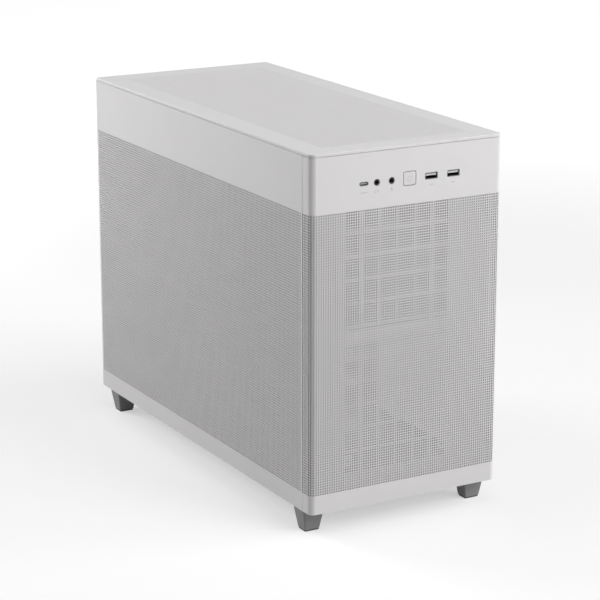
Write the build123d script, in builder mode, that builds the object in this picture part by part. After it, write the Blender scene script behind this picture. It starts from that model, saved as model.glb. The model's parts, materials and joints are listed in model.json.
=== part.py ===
from build123d import *

import os
from math import radians, tan

# Compact desktop computer tower, in millimetres.
# The front faces -Y, the access side faces -X, +Z is up, and the feet stand on Z = 0.

os.makedirs("parts", exist_ok=True)

# ---------------------------------------------------------------- casing sizes
WIDTH = 205.0
DEPTH = 460.0
HEIGHT = 364.0
FOOT_HEIGHT = 23.0
SKIN = 1.0  # side panels and top cover
FRONT_SKIN = 1.2  # front panel
SHEET = 1.0  # chassis sheet
CLEAR = 0.3  # between a cover and the chassis it sits on
COVER_EDGE = 2.4  # folded rim of the top cover
COVER_GAP = 0.8  # shadow gap under that rim
FRONT_DEPTH = 15.5  # how far the front panel reaches back round the corners
FRONT_RADIUS = 6.0  # front corners, seen from above
REAR_RADIUS = 1.5  # rear corners of the top cover
SEAM = 0.6  # gap between the front panel and a side panel
PANEL_RETURN = 4.0  # edge of a side panel folded inwards
LIP = 12.0  # folded edge of a chassis sheet
TAB_SETBACK = 22.5  # casing side to the end of a riveted tab
OVERCUT = 2.0  # how far a cut runs past the metal it removes
FIELD_DROP = 55.0  # top of the casing to the head of the open field of a cover
FIELD_RISE = 17.5  # lower edge of a cover to the foot of that field
FIELD_EDGE = 2.0  # upright edge of a side panel to that field
SIDE_PITCH = 36.5  # across the openings of a side panel
FRONT_PITCH = 27.5  # across those of the front panel
OPENING_ROWS = 3
OPENING_SHARE = (0.33, 0.9)  # width and height of an opening against its pitch
OPENING_RADIUS = 1.5

# ---------------------------------------------------------------- feet
FOOT_SOLE_X = 16.0
FOOT_SOLE_Y = 14.0
FOOT_TAPER = 3.6  # the foot widens by this on every side up to the casing
FOOT_FROM_SIDE = 12.8  # casing side to foot centre
FOOT_FROM_END = 25.7  # casing front or rear to foot centre
PAD_THICKNESS = 1.6
PAD_INSET = 0.6

# ---------------------------------------------------------------- front controls
PORT_DROP = 32.0  # centre line of the controls below the top
USB_C_X = -47.5
HEADPHONE_X = -33.8
MICROPHONE_X = -18.0
BUTTON_X = 1.2
USB_A_X = (24.6, 48.6)
PORT_RECESS = 0.4  # sockets stop this far behind the front face
BUTTON_WIDTH = 12.9
BUTTON_HEIGHT = 12.4
BUTTON_CORNER = 1.5
BUTTON_GROOVE = 0.6
BUTTON_CAP_DEPTH = 5.2
STEM = 5.0
RUNNING = 0.15  # sliding clearance on each side
BOARD = 1.6  # every circuit board
USB_A_WIDTH = 13.2
USB_A_HEIGHT = 5.8
USB_SHELL = 0.35
USB_C_WIDTH = 9.0
USB_C_HEIGHT = 3.26
USB_C_SHELL = 0.33
JACK_RADIUS = 1.8
JACK_NOSE = 2.9
JACK_DEPTH = 14.0
CUTOUT_GAP = 0.3  # between a socket and its hole in the front skin
USB_A_TONGUE = 11.2
USB_A_TONGUE_Z = (0.2, 2.0)  # the tongue fills the upper half of the socket
USB_C_TONGUE = (6.7, 0.7)
TONGUE_RECESS = 0.6

# ---------------------------------------------------------------- fans
FAN_SIZE = 120.0
FAN_DEPTH = 25.0
FAN_SPACING = 105.0
FAN_HOLE = 2.15
FAN_BORE = 57.5
FAN_HUB = 20.0
FAN_BLADES = 7
BLADE_PITCH = 36.0
FAN_RUNNING_GAP = 0.5
FAN_PLATE = 3.0
FAN_BLADE_TIP = 54.5
BLADE_CHORD = 26.0
BLADE_THICKNESS = 1.6
FAN_CORNER = 4.0
FAN_STRUTS = 4
FAN_STRUT = 5.0

# ---------------------------------------------------------------- power supply
SUPPLY_WIDTH = 150.0
SUPPLY_THICKNESS = 86.0
SUPPLY_LENGTH = 140.0
SUPPLY_HEADROOM = 43.5  # chassis ceiling to power supply
SUPPLY_SETBACK = 6.6  # front frame to power supply
INLET_WIDTH = 27.0
INLET_HEIGHT = 19.6
INLET_DEPTH = 20.0
INLET_WALL = 1.6
INLET_PINS = ((0.0, 2.6), (-7.0, -2.4), (7.0, -2.4))
INLET_PIN = (2.0, 4.0)
SWITCH_RADIUS = 7.5
SWITCH_WIDTH = 10.0
SWITCH_TILT = 7.0  # the rocker leans this far either way

# ---------------------------------------------------------------- main board
TRAY_SETBACK = 21.2  # chassis side to tray, the space for leads
STANDOFF = 6.5
BOARD_SIZE = 244.0
BOARD_HEADROOM = 36.5  # chassis ceiling to board top
BOARD_REAR_GAP = 0.7
IO_LENGTH = 158.75  # port opening in the rear panel
IO_WIDTH = 44.45
IO_DROP = 4.0  # board top to the port opening
IO_OVERLAP = 3.8  # the opening reaches this far behind the component face
SLOT_PITCH = 20.32
SLOT_COUNT = 4
SLOT_DROP = 172.5  # board top to the first expansion slot
SLOT_OPENING = 12.6
SLOT_REACH = 96.0
HOLE_COLUMNS = (10.2, 165.1, 237.5)  # from the rear edge of the board
HOLE_ROWS = (6.4, 163.8, 229.9)  # from the top edge of the board
CPU_FROM_REAR = 85.0
CPU_FROM_TOP = 85.0
SOCKET_SIZE = 50.0
SOCKET_THICKNESS = 4.0
CPU_SIZE = 38.0
CPU_THICKNESS = 3.5
COLD_PLATE = 40.0
COLD_PLATE_THICKNESS = 9.0
FIN_PITCH = 4.0
FIN_THICKNESS = 0.8
FIN_DEPTH = 48.0
FIN_LENGTH = 116.0
FIN_START = 22.0  # cold plate to the first fin
PIPE_RADIUS = 3.0
PIPE_SPACING = (26.0, 60.0)
MEMORY_FROM_REAR = (173.0, 185.0)
MEMORY_LENGTH = 133.4
MEMORY_HEIGHT = 34.0
MEMORY_THICKNESS = 4.0
MEMORY_SLOT_LENGTH = 140.0
MEMORY_SLOT_WIDTH = 7.0
MEMORY_SLOT_HEIGHT = 8.0
MEMORY_KEEL = 1.3
LATCH_RADIUS = 2.2
LATCH_REACH = 12.0
LATCH_WIDTH = 5.0

# ---------------------------------------------------------------- fasteners
SCREW_RADIUS = 1.5
SCREW_HEAD = 3.0
SCREW_HEAD_HEIGHT = 1.2
SCREW_HOLE = 2.0
RIVET_RADIUS = 2.4
RIVET_HEIGHT = 0.8
STUD_BALL = 2.6
STUD_NECK = 1.7
STUD_HOLE = 5.0
STUD_COLLAR = 4.0

# ---------------------------------------------------------------- positions that follow
HALF_WIDTH = WIDTH / 2
FRONT_Y = -DEPTH / 2
REAR_Y = DEPTH / 2
BODY_Z = FOOT_HEIGHT
SKIN_TOP = HEIGHT - COVER_EDGE - COVER_GAP
SEAM_Y = FRONT_Y + FRONT_DEPTH + SEAM
FRAME_X = HALF_WIDTH - SKIN - CLEAR  # outer side of the chassis
FRAME_FRONT = SEAM_Y + SKIN + CLEAR
FRAME_REAR = REAR_Y - SKIN - CLEAR
FRAME_TOP = SKIN_TOP - SKIN - CLEAR
FLOOR_Z = BODY_Z + SHEET
CEILING_Z = FRAME_TOP - SHEET
INNER_FRONT = FRAME_FRONT + SHEET
INNER_REAR = FRAME_REAR - SHEET
PORT_Z = HEIGHT - PORT_DROP
FIELD_Z = (BODY_Z + FIELD_RISE, HEIGHT - FIELD_DROP)
PORT_FACE = FRONT_Y + PORT_RECESS
TRAY_X = FRAME_X - TRAY_SETBACK
TAB_REACH = HALF_WIDTH - TAB_SETBACK
BOARD_X = TRAY_X - STANDOFF - BOARD  # component face of the main board
BOARD_TOP = CEILING_Z - BOARD_HEADROOM
BOARD_REAR = INNER_REAR - BOARD_REAR_GAP
BOARD_BOTTOM = BOARD_TOP - BOARD_SIZE
IO_TOP = BOARD_TOP - IO_DROP
IO_Z = IO_TOP - IO_LENGTH / 2
IO_X = BOARD_X + IO_OVERLAP - IO_WIDTH / 2
CPU_Y = BOARD_REAR - CPU_FROM_REAR
CPU_Z = BOARD_TOP - CPU_FROM_TOP
SUPPLY_FRONT = INNER_FRONT + SUPPLY_SETBACK
SUPPLY_REAR = SUPPLY_FRONT + SUPPLY_THICKNESS
SUPPLY_Y = (SUPPLY_FRONT + SUPPLY_REAR) / 2
SUPPLY_TOP = CEILING_Z - SUPPLY_HEADROOM
SUPPLY_Z = SUPPLY_TOP - SUPPLY_LENGTH  # lower face, where the mains inlet is


# ---------------------------------------------------------------- helpers
def middle(limits):
    return (limits[0] + limits[1]) / 2


def slab(x, y, z, mode=Mode.ADD):
    """Box between a low and a high limit on each axis."""
    low = (min(x), min(y), min(z))
    high = (max(x), max(y), max(z))
    with Locations([tuple(middle(pair) for pair in zip(low, high))]):
        Box(high[0] - low[0], high[1] - low[1], high[2] - low[2], mode=mode)


def rod(axis, radius, along, across, mode=Mode.ADD):
    """Cylinder along one axis; across holds its place on the other two, in X, Y, Z order."""
    turns = {"X": (0, 90, 0), "Y": (90, 0, 0), "Z": (0, 0, 0)}
    centre = list(across)
    centre.insert("XYZ".index(axis), middle(along))
    with Locations([tuple(centre)]):
        Cylinder(radius, abs(along[1] - along[0]), rotation=turns[axis], mode=mode)


def corners(spacing_a, spacing_b, centre=(0.0, 0.0)):
    """The four corners of a rectangle, as pairs."""
    return [
        (centre[0] + i * spacing_a / 2, centre[1] + j * spacing_b / 2)
        for i in (-1, 1)
        for j in (-1, 1)
    ]


def open_field(across, up, pitch):
    """Upright openings spread evenly over a rectangle, for the current sketch."""
    columns = round((across[1] - across[0]) / pitch)
    column = (across[1] - across[0]) / columns
    row = (up[1] - up[0]) / OPENING_ROWS
    with Locations((middle(across), middle(up))):
        with GridLocations(column, row, columns, OPENING_ROWS):
            RectangleRounded(OPENING_SHARE[0] * column, OPENING_SHARE[1] * row, OPENING_RADIUS)


def guard_sketch(plane, size=FAN_SIZE, ring=4.0, bar=2.2, spokes=4):
    """Open rings of a pressed fan guard, ready to be cut."""
    bore = FAN_BORE * size / FAN_SIZE
    with BuildSketch(plane, mode=Mode.PRIVATE) as guard:
        radius = bore - bar
        while radius - ring > ring:
            Circle(radius)
            Circle(radius - ring, mode=Mode.SUBTRACT)
            radius -= ring + bar
        with PolarLocations(0, spokes, start_angle=45.0):
            Rectangle(2 * bore, bar * 1.6, mode=Mode.SUBTRACT)
    return guard.sketch


def fan_frame(place, size=FAN_SIZE):
    """Square fan frame; its motor plate and struts lie at the plane's origin side."""
    bore = FAN_BORE * size / FAN_SIZE
    spacing = FAN_SPACING * size / FAN_SIZE
    with BuildPart() as frame:
        with BuildSketch(place):
            RectangleRounded(size, size, FAN_CORNER)
            Circle(bore, mode=Mode.SUBTRACT)
            with GridLocations(spacing, spacing, 2, 2):
                Circle(FAN_HOLE, mode=Mode.SUBTRACT)
        extrude(amount=FAN_DEPTH)
        with BuildSketch(place):
            with PolarLocations(bore / 2, FAN_STRUTS, start_angle=20.0):
                Rectangle(bore + 2, FAN_STRUT)
            Circle(FAN_HUB)
        extrude(amount=FAN_PLATE)
    return frame


def fan_rotor(place, size=FAN_SIZE):
    """Hub with pitched blades, running clear of the motor plate."""
    base = place.offset(FAN_PLATE + FAN_RUNNING_GAP)
    height = FAN_DEPTH - FAN_PLATE - 2 * FAN_RUNNING_GAP
    tip = FAN_BLADE_TIP * size / FAN_SIZE
    length = tip - FAN_HUB + OVERCUT
    with BuildPart(base.offset(height / 2)) as rotor:
        Cylinder(FAN_HUB, height)
        with PolarLocations(tip - length / 2, FAN_BLADES):
            Box(length, BLADE_CHORD, BLADE_THICKNESS, rotation=(BLADE_PITCH, 0, 0))
        fillet(rotor.edges().filter_by(GeomType.CIRCLE).sort_by(Axis(base.origin, base.z_dir))[-1], 1.5)
    return rotor


def screws(axis, places, head, tip, way):
    """Pan-head screws whose heads bear at head and whose shanks end at tip."""
    for place in places:
        rod(axis, SCREW_HEAD, (head, head + way * SCREW_HEAD_HEIGHT), place)
        rod(axis, SCREW_RADIUS, (head, tip), place)


# ================================================================ chassis
# ---------------------------------------------------------------- bottom pan
FOOT_PLACES = corners(WIDTH - 2 * FOOT_FROM_SIDE, DEPTH - 2 * FOOT_FROM_END)
FOOT_SPIGOT = 2.5  # snap pin of a foot through the pan
FOOT_PIN_HEAD = FOOT_SPIGOT + 1.0
FLOOR_FAN_Y = 20.0
FLOOR_FAN_X = -18.0
FLOOR_SLOT = (12.0, 3.4)
FLOOR_SLOT_PITCH = (15.0, 6.6)
FLOOR_SLOTS = (6, 16)
DRIVE_HOLES = (76.6, 61.7)
DRIVE_Y = -150.0

with BuildPart() as bottom_pan:
    slab((-FRAME_X, FRAME_X), (FRAME_FRONT, FRAME_REAR), (BODY_Z, FLOOR_Z))
    for side in (-1, 1):
        slab((side * (FRAME_X - SHEET), side * FRAME_X), (INNER_FRONT, INNER_REAR), (FLOOR_Z, BODY_Z + LIP))
    with BuildSketch(Plane.XY.offset(BODY_Z)):
        with Locations((FLOOR_FAN_X, FLOOR_FAN_Y)):
            with GridLocations(*FLOOR_SLOT_PITCH, *FLOOR_SLOTS):
                SlotOverall(*FLOOR_SLOT)
            with GridLocations(FAN_SPACING, FAN_SPACING, 2, 2):
                Circle(FAN_HOLE)
        with Locations((0.0, DRIVE_Y)):
            with GridLocations(DRIVE_HOLES[0], DRIVE_HOLES[1], 2, 2):
                Circle(SCREW_HOLE)
        with Locations(FOOT_PLACES):
            Circle(FOOT_SPIGOT + RUNNING)
    extrude(amount=SHEET, mode=Mode.SUBTRACT)
bottom_pan.part.label = "bottom_pan"
export_step(bottom_pan.part, "parts/bottom_pan.step")

# ---------------------------------------------------------------- rear panel
REAR_FAN_GAPS = (6.2, 5.25)  # fan to the chassis side, and to the port opening
REAR_FAN_LIMITS = (SHEET - FRAME_X + REAR_FAN_GAPS[0], IO_X - IO_WIDTH / 2 - REAR_FAN_GAPS[1])
REAR_FAN_SIZE = REAR_FAN_LIMITS[1] - REAR_FAN_LIMITS[0]
REAR_FAN_X = middle(REAR_FAN_LIMITS)
REAR_FAN_Z = BOARD_TOP - 72.0
SLOT_EDGE = BOARD_X - 3.9  # end of the expansion slots at the board
SHELF_X = SLOT_EDGE - SLOT_REACH - 5.0  # sheet that holds the covers' screws
MAINS_X = 40.5 - HALF_WIDTH
MAINS_Z = FLOOR_Z + 28.0
VENT_PITCH = 7.0
VENT_RADIUS = 2.3
VENT_MARGIN = 11.7
VENT_FIELD = (VENT_MARGIN - FRAME_X, SHELF_X - VENT_MARGIN)
VENT_TOP = REAR_FAN_Z - REAR_FAN_SIZE / 2 - VENT_MARGIN
VENT_COLUMNS = int((VENT_FIELD[1] - VENT_FIELD[0]) // VENT_PITCH) + 1
VENT_ROWS = int((VENT_TOP - MAINS_Z - INLET_HEIGHT - VENT_MARGIN) // VENT_PITCH) + 1
SLOT_CENTRES = [BOARD_TOP - SLOT_DROP - i * SLOT_PITCH for i in range(SLOT_COUNT)]
SLOT_X = SLOT_EDGE - SLOT_REACH / 2
REAR_FAN_SPACING = FAN_SPACING * REAR_FAN_SIZE / FAN_SIZE
REAR_FAN_PLACES = corners(REAR_FAN_SPACING, REAR_FAN_SPACING, (REAR_FAN_X, REAR_FAN_Z))
rear_cut = Plane.XZ.offset(-(FRAME_REAR + INNER_REAR) / 2)

with BuildPart() as rear_panel:
    slab((-FRAME_X, FRAME_X), (INNER_REAR, FRAME_REAR), (FLOOR_Z, CEILING_Z))
    for side in (-1, 1):
        slab(
            (side * (FRAME_X - SHEET), side * FRAME_X),
            (INNER_REAR - LIP, INNER_REAR),
            (BODY_Z + LIP, FRAME_TOP - LIP),
        )
    for low in (FLOOR_Z, CEILING_Z - SHEET):
        slab((-TAB_REACH, TAB_REACH - SHEET), (INNER_REAR - LIP, INNER_REAR), (low, low + SHEET))
    slab(
        (SHELF_X, SHELF_X + SHEET),
        (INNER_REAR - LIP, INNER_REAR),
        (SLOT_CENTRES[-1] - SLOT_PITCH / 2, SLOT_CENTRES[0] + SLOT_PITCH / 2),
    )
    with BuildSketch(rear_cut):
        with Locations((IO_X, IO_Z)):
            Rectangle(IO_WIDTH, IO_LENGTH)
        for centre in SLOT_CENTRES:
            with Locations((SLOT_X, centre)):
                Rectangle(SLOT_REACH, SLOT_OPENING)
        with Locations((MAINS_X, MAINS_Z)):
            Rectangle(INLET_WIDTH + 2 * CLEAR, INLET_HEIGHT + 2 * CLEAR)
        with Locations(REAR_FAN_PLACES):
            Circle(FAN_HOLE)
        with Locations((middle(VENT_FIELD), VENT_TOP - (VENT_ROWS - 1) * VENT_PITCH / 2)):
            with GridLocations(VENT_PITCH, VENT_PITCH, VENT_COLUMNS, VENT_ROWS):
                Circle(VENT_RADIUS)
    extrude(amount=SHEET, both=True, mode=Mode.SUBTRACT)
    extrude(
        guard_sketch(
            Plane(origin=(REAR_FAN_X, middle((INNER_REAR, FRAME_REAR)), REAR_FAN_Z), z_dir=(0, -1, 0)),
            REAR_FAN_SIZE,
        ),
        amount=SHEET,
        both=True,
        mode=Mode.SUBTRACT,
    )
    for centre in SLOT_CENTRES:
        through = (SHELF_X - OVERCUT, SHELF_X + OVERCUT)
        rod("X", SCREW_HOLE, through, (INNER_REAR - LIP / 2, centre), Mode.SUBTRACT)
rear_panel.part.label = "rear_panel"
export_step(rear_panel.part, "parts/rear_panel.step")

# ---------------------------------------------------------------- studs and their sockets
STUD_SETBACK = 14.5  # casing side to the front studs
FRONT_STUDS = [
    (side * (HALF_WIDTH - STUD_SETBACK), z) for side in (-1, 1) for z in (FLOOR_Z + LIP / 2, PORT_Z + 16.0)
]
TOP_STUDS = corners(WIDTH - 65.0, DEPTH - 80.0)
SOCKET_DEPTH = 3.0
SOCKET_FLANGE = 0.25

# ---------------------------------------------------------------- top frame
TOP_OPENING = 112.0
OPENING_CORNER = 24.0
TOP_FAN_Y = [(i - 1) * FAN_SIZE + 5.0 for i in range(3)]

with BuildPart() as top_frame:
    slab((-FRAME_X, FRAME_X), (FRAME_FRONT, FRAME_REAR), (CEILING_Z, FRAME_TOP))
    for side in (-1, 1):
        slab(
            (side * (FRAME_X - SHEET), side * FRAME_X),
            (INNER_FRONT, INNER_REAR),
            (FRAME_TOP - LIP, CEILING_Z),
        )
    with BuildSketch(Plane.XY.offset(CEILING_Z)):
        for fan_y in TOP_FAN_Y:
            with Locations((0.0, fan_y)):
                RectangleRounded(TOP_OPENING, TOP_OPENING, OPENING_CORNER)
                with GridLocations(FAN_SPACING, FAN_SPACING, 2, 2):
                    Circle(FAN_HOLE)
        with Locations(TOP_STUDS):
            Circle(STUD_HOLE)
    extrude(amount=SHEET, mode=Mode.SUBTRACT)
top_frame.part.label = "top_frame"
export_step(top_frame.part, "parts/top_frame.step")

# ---------------------------------------------------------------- front frame
GRILLE_COLUMNS = 6
GRILLE_PITCH = (19.2, 22.4)  # across, up
GRILLE_BAR = 2.8
GRILLE_PAD = 10.0  # plain square round a screw hole
LOWER_GRILLE_Z = 50.0
LOWER_ROWS = 5 * [GRILLE_PITCH[1]] + [16.3]
UPPER_GRILLE_Z = 187.0
UPPER_ROWS = [6.8] + 5 * [GRILLE_PITCH[1]]
LOWER_FAN_Z = 115.0
IO_WINDOW_X = 62.0
IO_WINDOW_Z = (PORT_Z - 8.6, PORT_Z + 4.4)
BRACKET_HOLES_X = 70.0
BRACKET_HOLE_Z = SUPPLY_Z - 12.0
LOWER_FAN_PLACES = corners(FAN_SPACING, FAN_SPACING, (0.0, LOWER_FAN_Z))
# holes for a power supply set lower
BRACKET_SPARES = [(-16.0, 134.0), (29.0, 134.0), (29.0, 99.0), (-48.0, 99.0)]
front_cut = Plane.XZ.offset(-(FRAME_FRONT + INNER_FRONT) / 2)

with BuildPart() as front_frame:
    slab((-FRAME_X, FRAME_X), (FRAME_FRONT, INNER_FRONT), (FLOOR_Z, CEILING_Z))
    for side in (-1, 1):
        slab(
            (side * (FRAME_X - SHEET), side * FRAME_X),
            (INNER_FRONT, INNER_FRONT + LIP),
            (BODY_Z + LIP, FRAME_TOP - LIP),
        )
    for low in (FLOOR_Z, CEILING_Z - SHEET):
        slab((-TAB_REACH, TAB_REACH), (INNER_FRONT, INNER_FRONT + LIP), (low, low + SHEET))
    with BuildSketch(front_cut):
        for bottom, rows in ((LOWER_GRILLE_Z, LOWER_ROWS), (UPPER_GRILLE_Z, UPPER_ROWS)):
            for i, row in enumerate(rows):
                with Locations((0.0, bottom + sum(rows[:i]) + row / 2)):
                    with GridLocations(GRILLE_PITCH[0], row, GRILLE_COLUMNS, 1):
                        Rectangle(GRILLE_PITCH[0] - GRILLE_BAR, row - GRILLE_BAR)
        with Locations(LOWER_FAN_PLACES + BRACKET_SPARES):
            Rectangle(GRILLE_PAD, GRILLE_PAD, mode=Mode.SUBTRACT)
        with Locations(LOWER_FAN_PLACES):
            Circle(FAN_HOLE)
        with Locations(BRACKET_SPARES):
            Circle(SCREW_HOLE)
        with Locations((0.0, middle(IO_WINDOW_Z))):
            Rectangle(2 * IO_WINDOW_X, IO_WINDOW_Z[1] - IO_WINDOW_Z[0])
        with Locations(FRONT_STUDS):
            Circle(STUD_HOLE)
        with Locations([(side * BRACKET_HOLES_X, BRACKET_HOLE_Z) for side in (-1, 1)]):
            Circle(SCREW_HOLE)
        with Locations([(side * BRACKET_HOLES_X / 2, IO_WINDOW_Z[0] - 6.0) for side in (-1, 1)]):
            Circle(SCREW_HOLE)
    extrude(amount=SHEET, both=True, mode=Mode.SUBTRACT)
front_frame.part.label = "front_frame"
export_step(front_frame.part, "parts/front_frame.step")

# ---------------------------------------------------------------- motherboard tray
TRAY_FRONT = BOARD_REAR - BOARD_SIZE - 17.0  # leads pass between this edge and the front frame
TRAY_TAB = 10.0
TRAY_TAB_END = REAR_Y - FOOT_FROM_END - FOOT_PIN_HEAD - SHEET
BACKPLATE_WINDOW = 100.0
DRIVE_SIZE = (69.85, 100.0, 7.0)
DRIVE_PLACE = (60.0, 120.0)
LEAD_SLOT = (40.0, 12.0)
LEAD_SLOT_Y = [15.0 + i * 70.0 for i in range(3)]
LEAD_SLOT_Z = BOARD_BOTTOM - 18.0
BOARD_HOLES = [(BOARD_REAR - column, BOARD_TOP - row) for column in HOLE_COLUMNS for row in HOLE_ROWS]

with BuildPart() as motherboard_tray:
    slab((TRAY_X, TRAY_X + SHEET), (TRAY_FRONT, INNER_REAR), (FLOOR_Z, CEILING_Z - SHEET))
    slab((TRAY_X, TRAY_X + TRAY_TAB), (TRAY_FRONT, INNER_REAR - LIP), (CEILING_Z - SHEET, CEILING_Z))
    slab((TRAY_X + SHEET, TRAY_X + TRAY_TAB), (TRAY_FRONT, TRAY_TAB_END), (FLOOR_Z, FLOOR_Z + SHEET))
    slab(
        (TRAY_X + SHEET, TRAY_X + TRAY_TAB),
        (TRAY_FRONT, TRAY_FRONT + SHEET),
        (FLOOR_Z + SHEET, CEILING_Z - SHEET),
    )
    with BuildSketch(Plane.YZ.offset(TRAY_X)):
        with Locations((CPU_Y, CPU_Z)):
            RectangleRounded(BACKPLATE_WINDOW, BACKPLATE_WINDOW, 6.0)
        with Locations(BOARD_HOLES):
            Circle(SCREW_HOLE)
        with Locations([(y, LEAD_SLOT_Z) for y in LEAD_SLOT_Y]):
            SlotOverall(*LEAD_SLOT)
    extrude(amount=SHEET, mode=Mode.SUBTRACT)
motherboard_tray.part.label = "motherboard_tray"
export_step(motherboard_tray.part, "parts/motherboard_tray.step")

# ---------------------------------------------------------------- rivets
RIVET_X = (-66.0, -22.0, 22.0, 66.0)
with BuildPart() as chassis_rivets:
    for rivet_y in (INNER_REAR - LIP / 2, INNER_FRONT + LIP / 2):
        for rivet_x in RIVET_X:
            rod("Z", RIVET_RADIUS, (FRAME_TOP, FRAME_TOP + RIVET_HEIGHT), (rivet_x, rivet_y))
            rod("Z", RIVET_RADIUS, (BODY_Z - RIVET_HEIGHT, BODY_Z), (rivet_x, rivet_y))
    fillet(chassis_rivets.edges().filter_by(GeomType.CIRCLE).group_by(Axis.Z)[-1], RIVET_HEIGHT * 0.7)
    fillet(chassis_rivets.edges().filter_by(GeomType.CIRCLE).group_by(Axis.Z)[0], RIVET_HEIGHT * 0.7)
chassis_rivets.part.label = "chassis_rivets"
export_step(chassis_rivets.part, "parts/chassis_rivets.step")

# ---------------------------------------------------------------- snap sockets
def socket_ring(axis, outer_face, inward, across):
    """Bush snapped into a chassis hole: a body in the hole and a wider ring behind the sheet."""
    behind = outer_face + inward * SHEET
    rod(axis, STUD_HOLE - SOCKET_FLANGE, (outer_face, behind), across)
    rod(axis, STUD_HOLE + 1.0, (behind, behind + inward * SOCKET_DEPTH), across)
    through = (outer_face - inward, behind + inward * (SOCKET_DEPTH + 1))
    rod(axis, STUD_BALL + CLEAR, through, across, Mode.SUBTRACT)


with BuildPart() as stud_sockets:
    for place in FRONT_STUDS:
        socket_ring("Y", FRAME_FRONT, 1, place)
    for place in TOP_STUDS:
        socket_ring("Z", FRAME_TOP, -1, place)
stud_sockets.part.label = "stud_sockets"
export_step(stud_sockets.part, "parts/stud_sockets.step")

# ---------------------------------------------------------------- feet
FOOT_NAMES = ("foot_front_left", "foot_rear_left", "foot_front_right", "foot_rear_right")


def foot(centre):
    """Tapered foot with a snap pin up through the pan."""
    with BuildPart() as leg:
        with BuildSketch(Plane.XY.offset(PAD_THICKNESS)):
            with Locations(centre):
                RectangleRounded(FOOT_SOLE_X, FOOT_SOLE_Y, 1.5)
        with BuildSketch(Plane.XY.offset(BODY_Z)):
            with Locations(centre):
                RectangleRounded(FOOT_SOLE_X + 2 * FOOT_TAPER, FOOT_SOLE_Y + 2 * FOOT_TAPER, 2.0)
        loft()
        rod("Z", FOOT_SPIGOT, (BODY_Z, FLOOR_Z), centre)
        rod("Z", FOOT_PIN_HEAD, (FLOOR_Z, FLOOR_Z + 1.5), centre)
    return leg


for name, place in zip(FOOT_NAMES, FOOT_PLACES):
    leg = foot(place)
    leg.part.label = name
    export_step(leg.part, f"parts/{name}.step")

with BuildPart() as foot_pads:
    with BuildSketch(Plane.XY):
        with Locations(FOOT_PLACES):
            RectangleRounded(FOOT_SOLE_X - 2 * PAD_INSET, FOOT_SOLE_Y - 2 * PAD_INSET, 1.0)
    extrude(amount=PAD_THICKNESS)
foot_pads.part.label = "foot_pads"
export_step(foot_pads.part, "parts/foot_pads.step")


# ================================================================ covers
def snap_stud(axis, face, way, across, shoulder):
    """Stud on the inside of a cover: collar, neck and ball, pointing along way."""
    collar_end = face + way * shoulder
    ball = collar_end + way * (CLEAR + SHEET + STUD_BALL * 0.6)
    if shoulder > 0:
        rod(axis, STUD_COLLAR, (face, collar_end), across)
    rod(axis, STUD_NECK, (face, ball), across)
    centre = list(across)
    centre.insert("XYZ".index(axis), ball)
    with Locations([tuple(centre)]):
        Sphere(STUD_BALL)


def side_panel(side):
    """Sheet with its top, front and rear edges folded inwards."""
    with BuildPart() as panel:
        slab(
            (side * HALF_WIDTH, side * (HALF_WIDTH - PANEL_RETURN)),
            (SEAM_Y, REAR_Y),
            (BODY_Z, SKIN_TOP),
        )
        slab(
            (side * (HALF_WIDTH - SKIN), side * (HALF_WIDTH - PANEL_RETURN - OVERCUT)),
            (SEAM_Y + SKIN, REAR_Y - SKIN),
            (BODY_Z - OVERCUT, SKIN_TOP - SKIN),
            Mode.SUBTRACT,
        )
        with BuildSketch(Plane.YZ.offset(side * HALF_WIDTH)):
            open_field((SEAM_Y + FIELD_EDGE, REAR_Y - FIELD_EDGE), FIELD_Z, SIDE_PITCH)
        extrude(amount=-side * (SKIN + OVERCUT), mode=Mode.SUBTRACT)
    return panel


HOOK_COUNT = 4
HOOK_PITCH = 105.0
HOOK_WIDTH = 14.0
HOOK_REACH = 4.0
HOOK_THICKNESS = 2.5
HOOK_ROOT = (0.9, 12.0)  # thickness and height of the tongue that is bonded to the panel


def panel_catches(side):
    """Sprung tongues behind a side panel's top and bottom edges that grip the chassis lips."""
    inner = side * (HALF_WIDTH - SKIN)
    grip = side * (FRAME_X - SHEET - CLEAR)
    with BuildPart() as catches:
        for z, toward in ((BODY_Z + LIP + CLEAR, 1), (FRAME_TOP - LIP - CLEAR, -1)):
            for i in range(HOOK_COUNT):
                y = (i - (HOOK_COUNT - 1) / 2) * HOOK_PITCH
                along = (y - HOOK_WIDTH / 2, y + HOOK_WIDTH / 2)
                root = z + toward * HOOK_THICKNESS
                slab((inner, grip - side * HOOK_REACH), along, (z, root))
                slab((inner, inner - side * HOOK_ROOT[0]), along, (root, z + toward * HOOK_ROOT[1]))
    return catches


left_side_panel = side_panel(-1)
left_side_panel.part.label = "left_side_panel"
export_step(left_side_panel.part, "parts/left_side_panel.step")

right_side_panel = side_panel(1)
right_side_panel.part.label = "right_side_panel"
export_step(right_side_panel.part, "parts/right_side_panel.step")

left_panel_catches = panel_catches(-1)
left_panel_catches.part.label = "left_panel_catches"
export_step(left_panel_catches.part, "parts/left_panel_catches.step")

right_panel_catches = panel_catches(1)
right_panel_catches.part.label = "right_panel_catches"
export_step(right_panel_catches.part, "parts/right_panel_catches.step")

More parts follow.
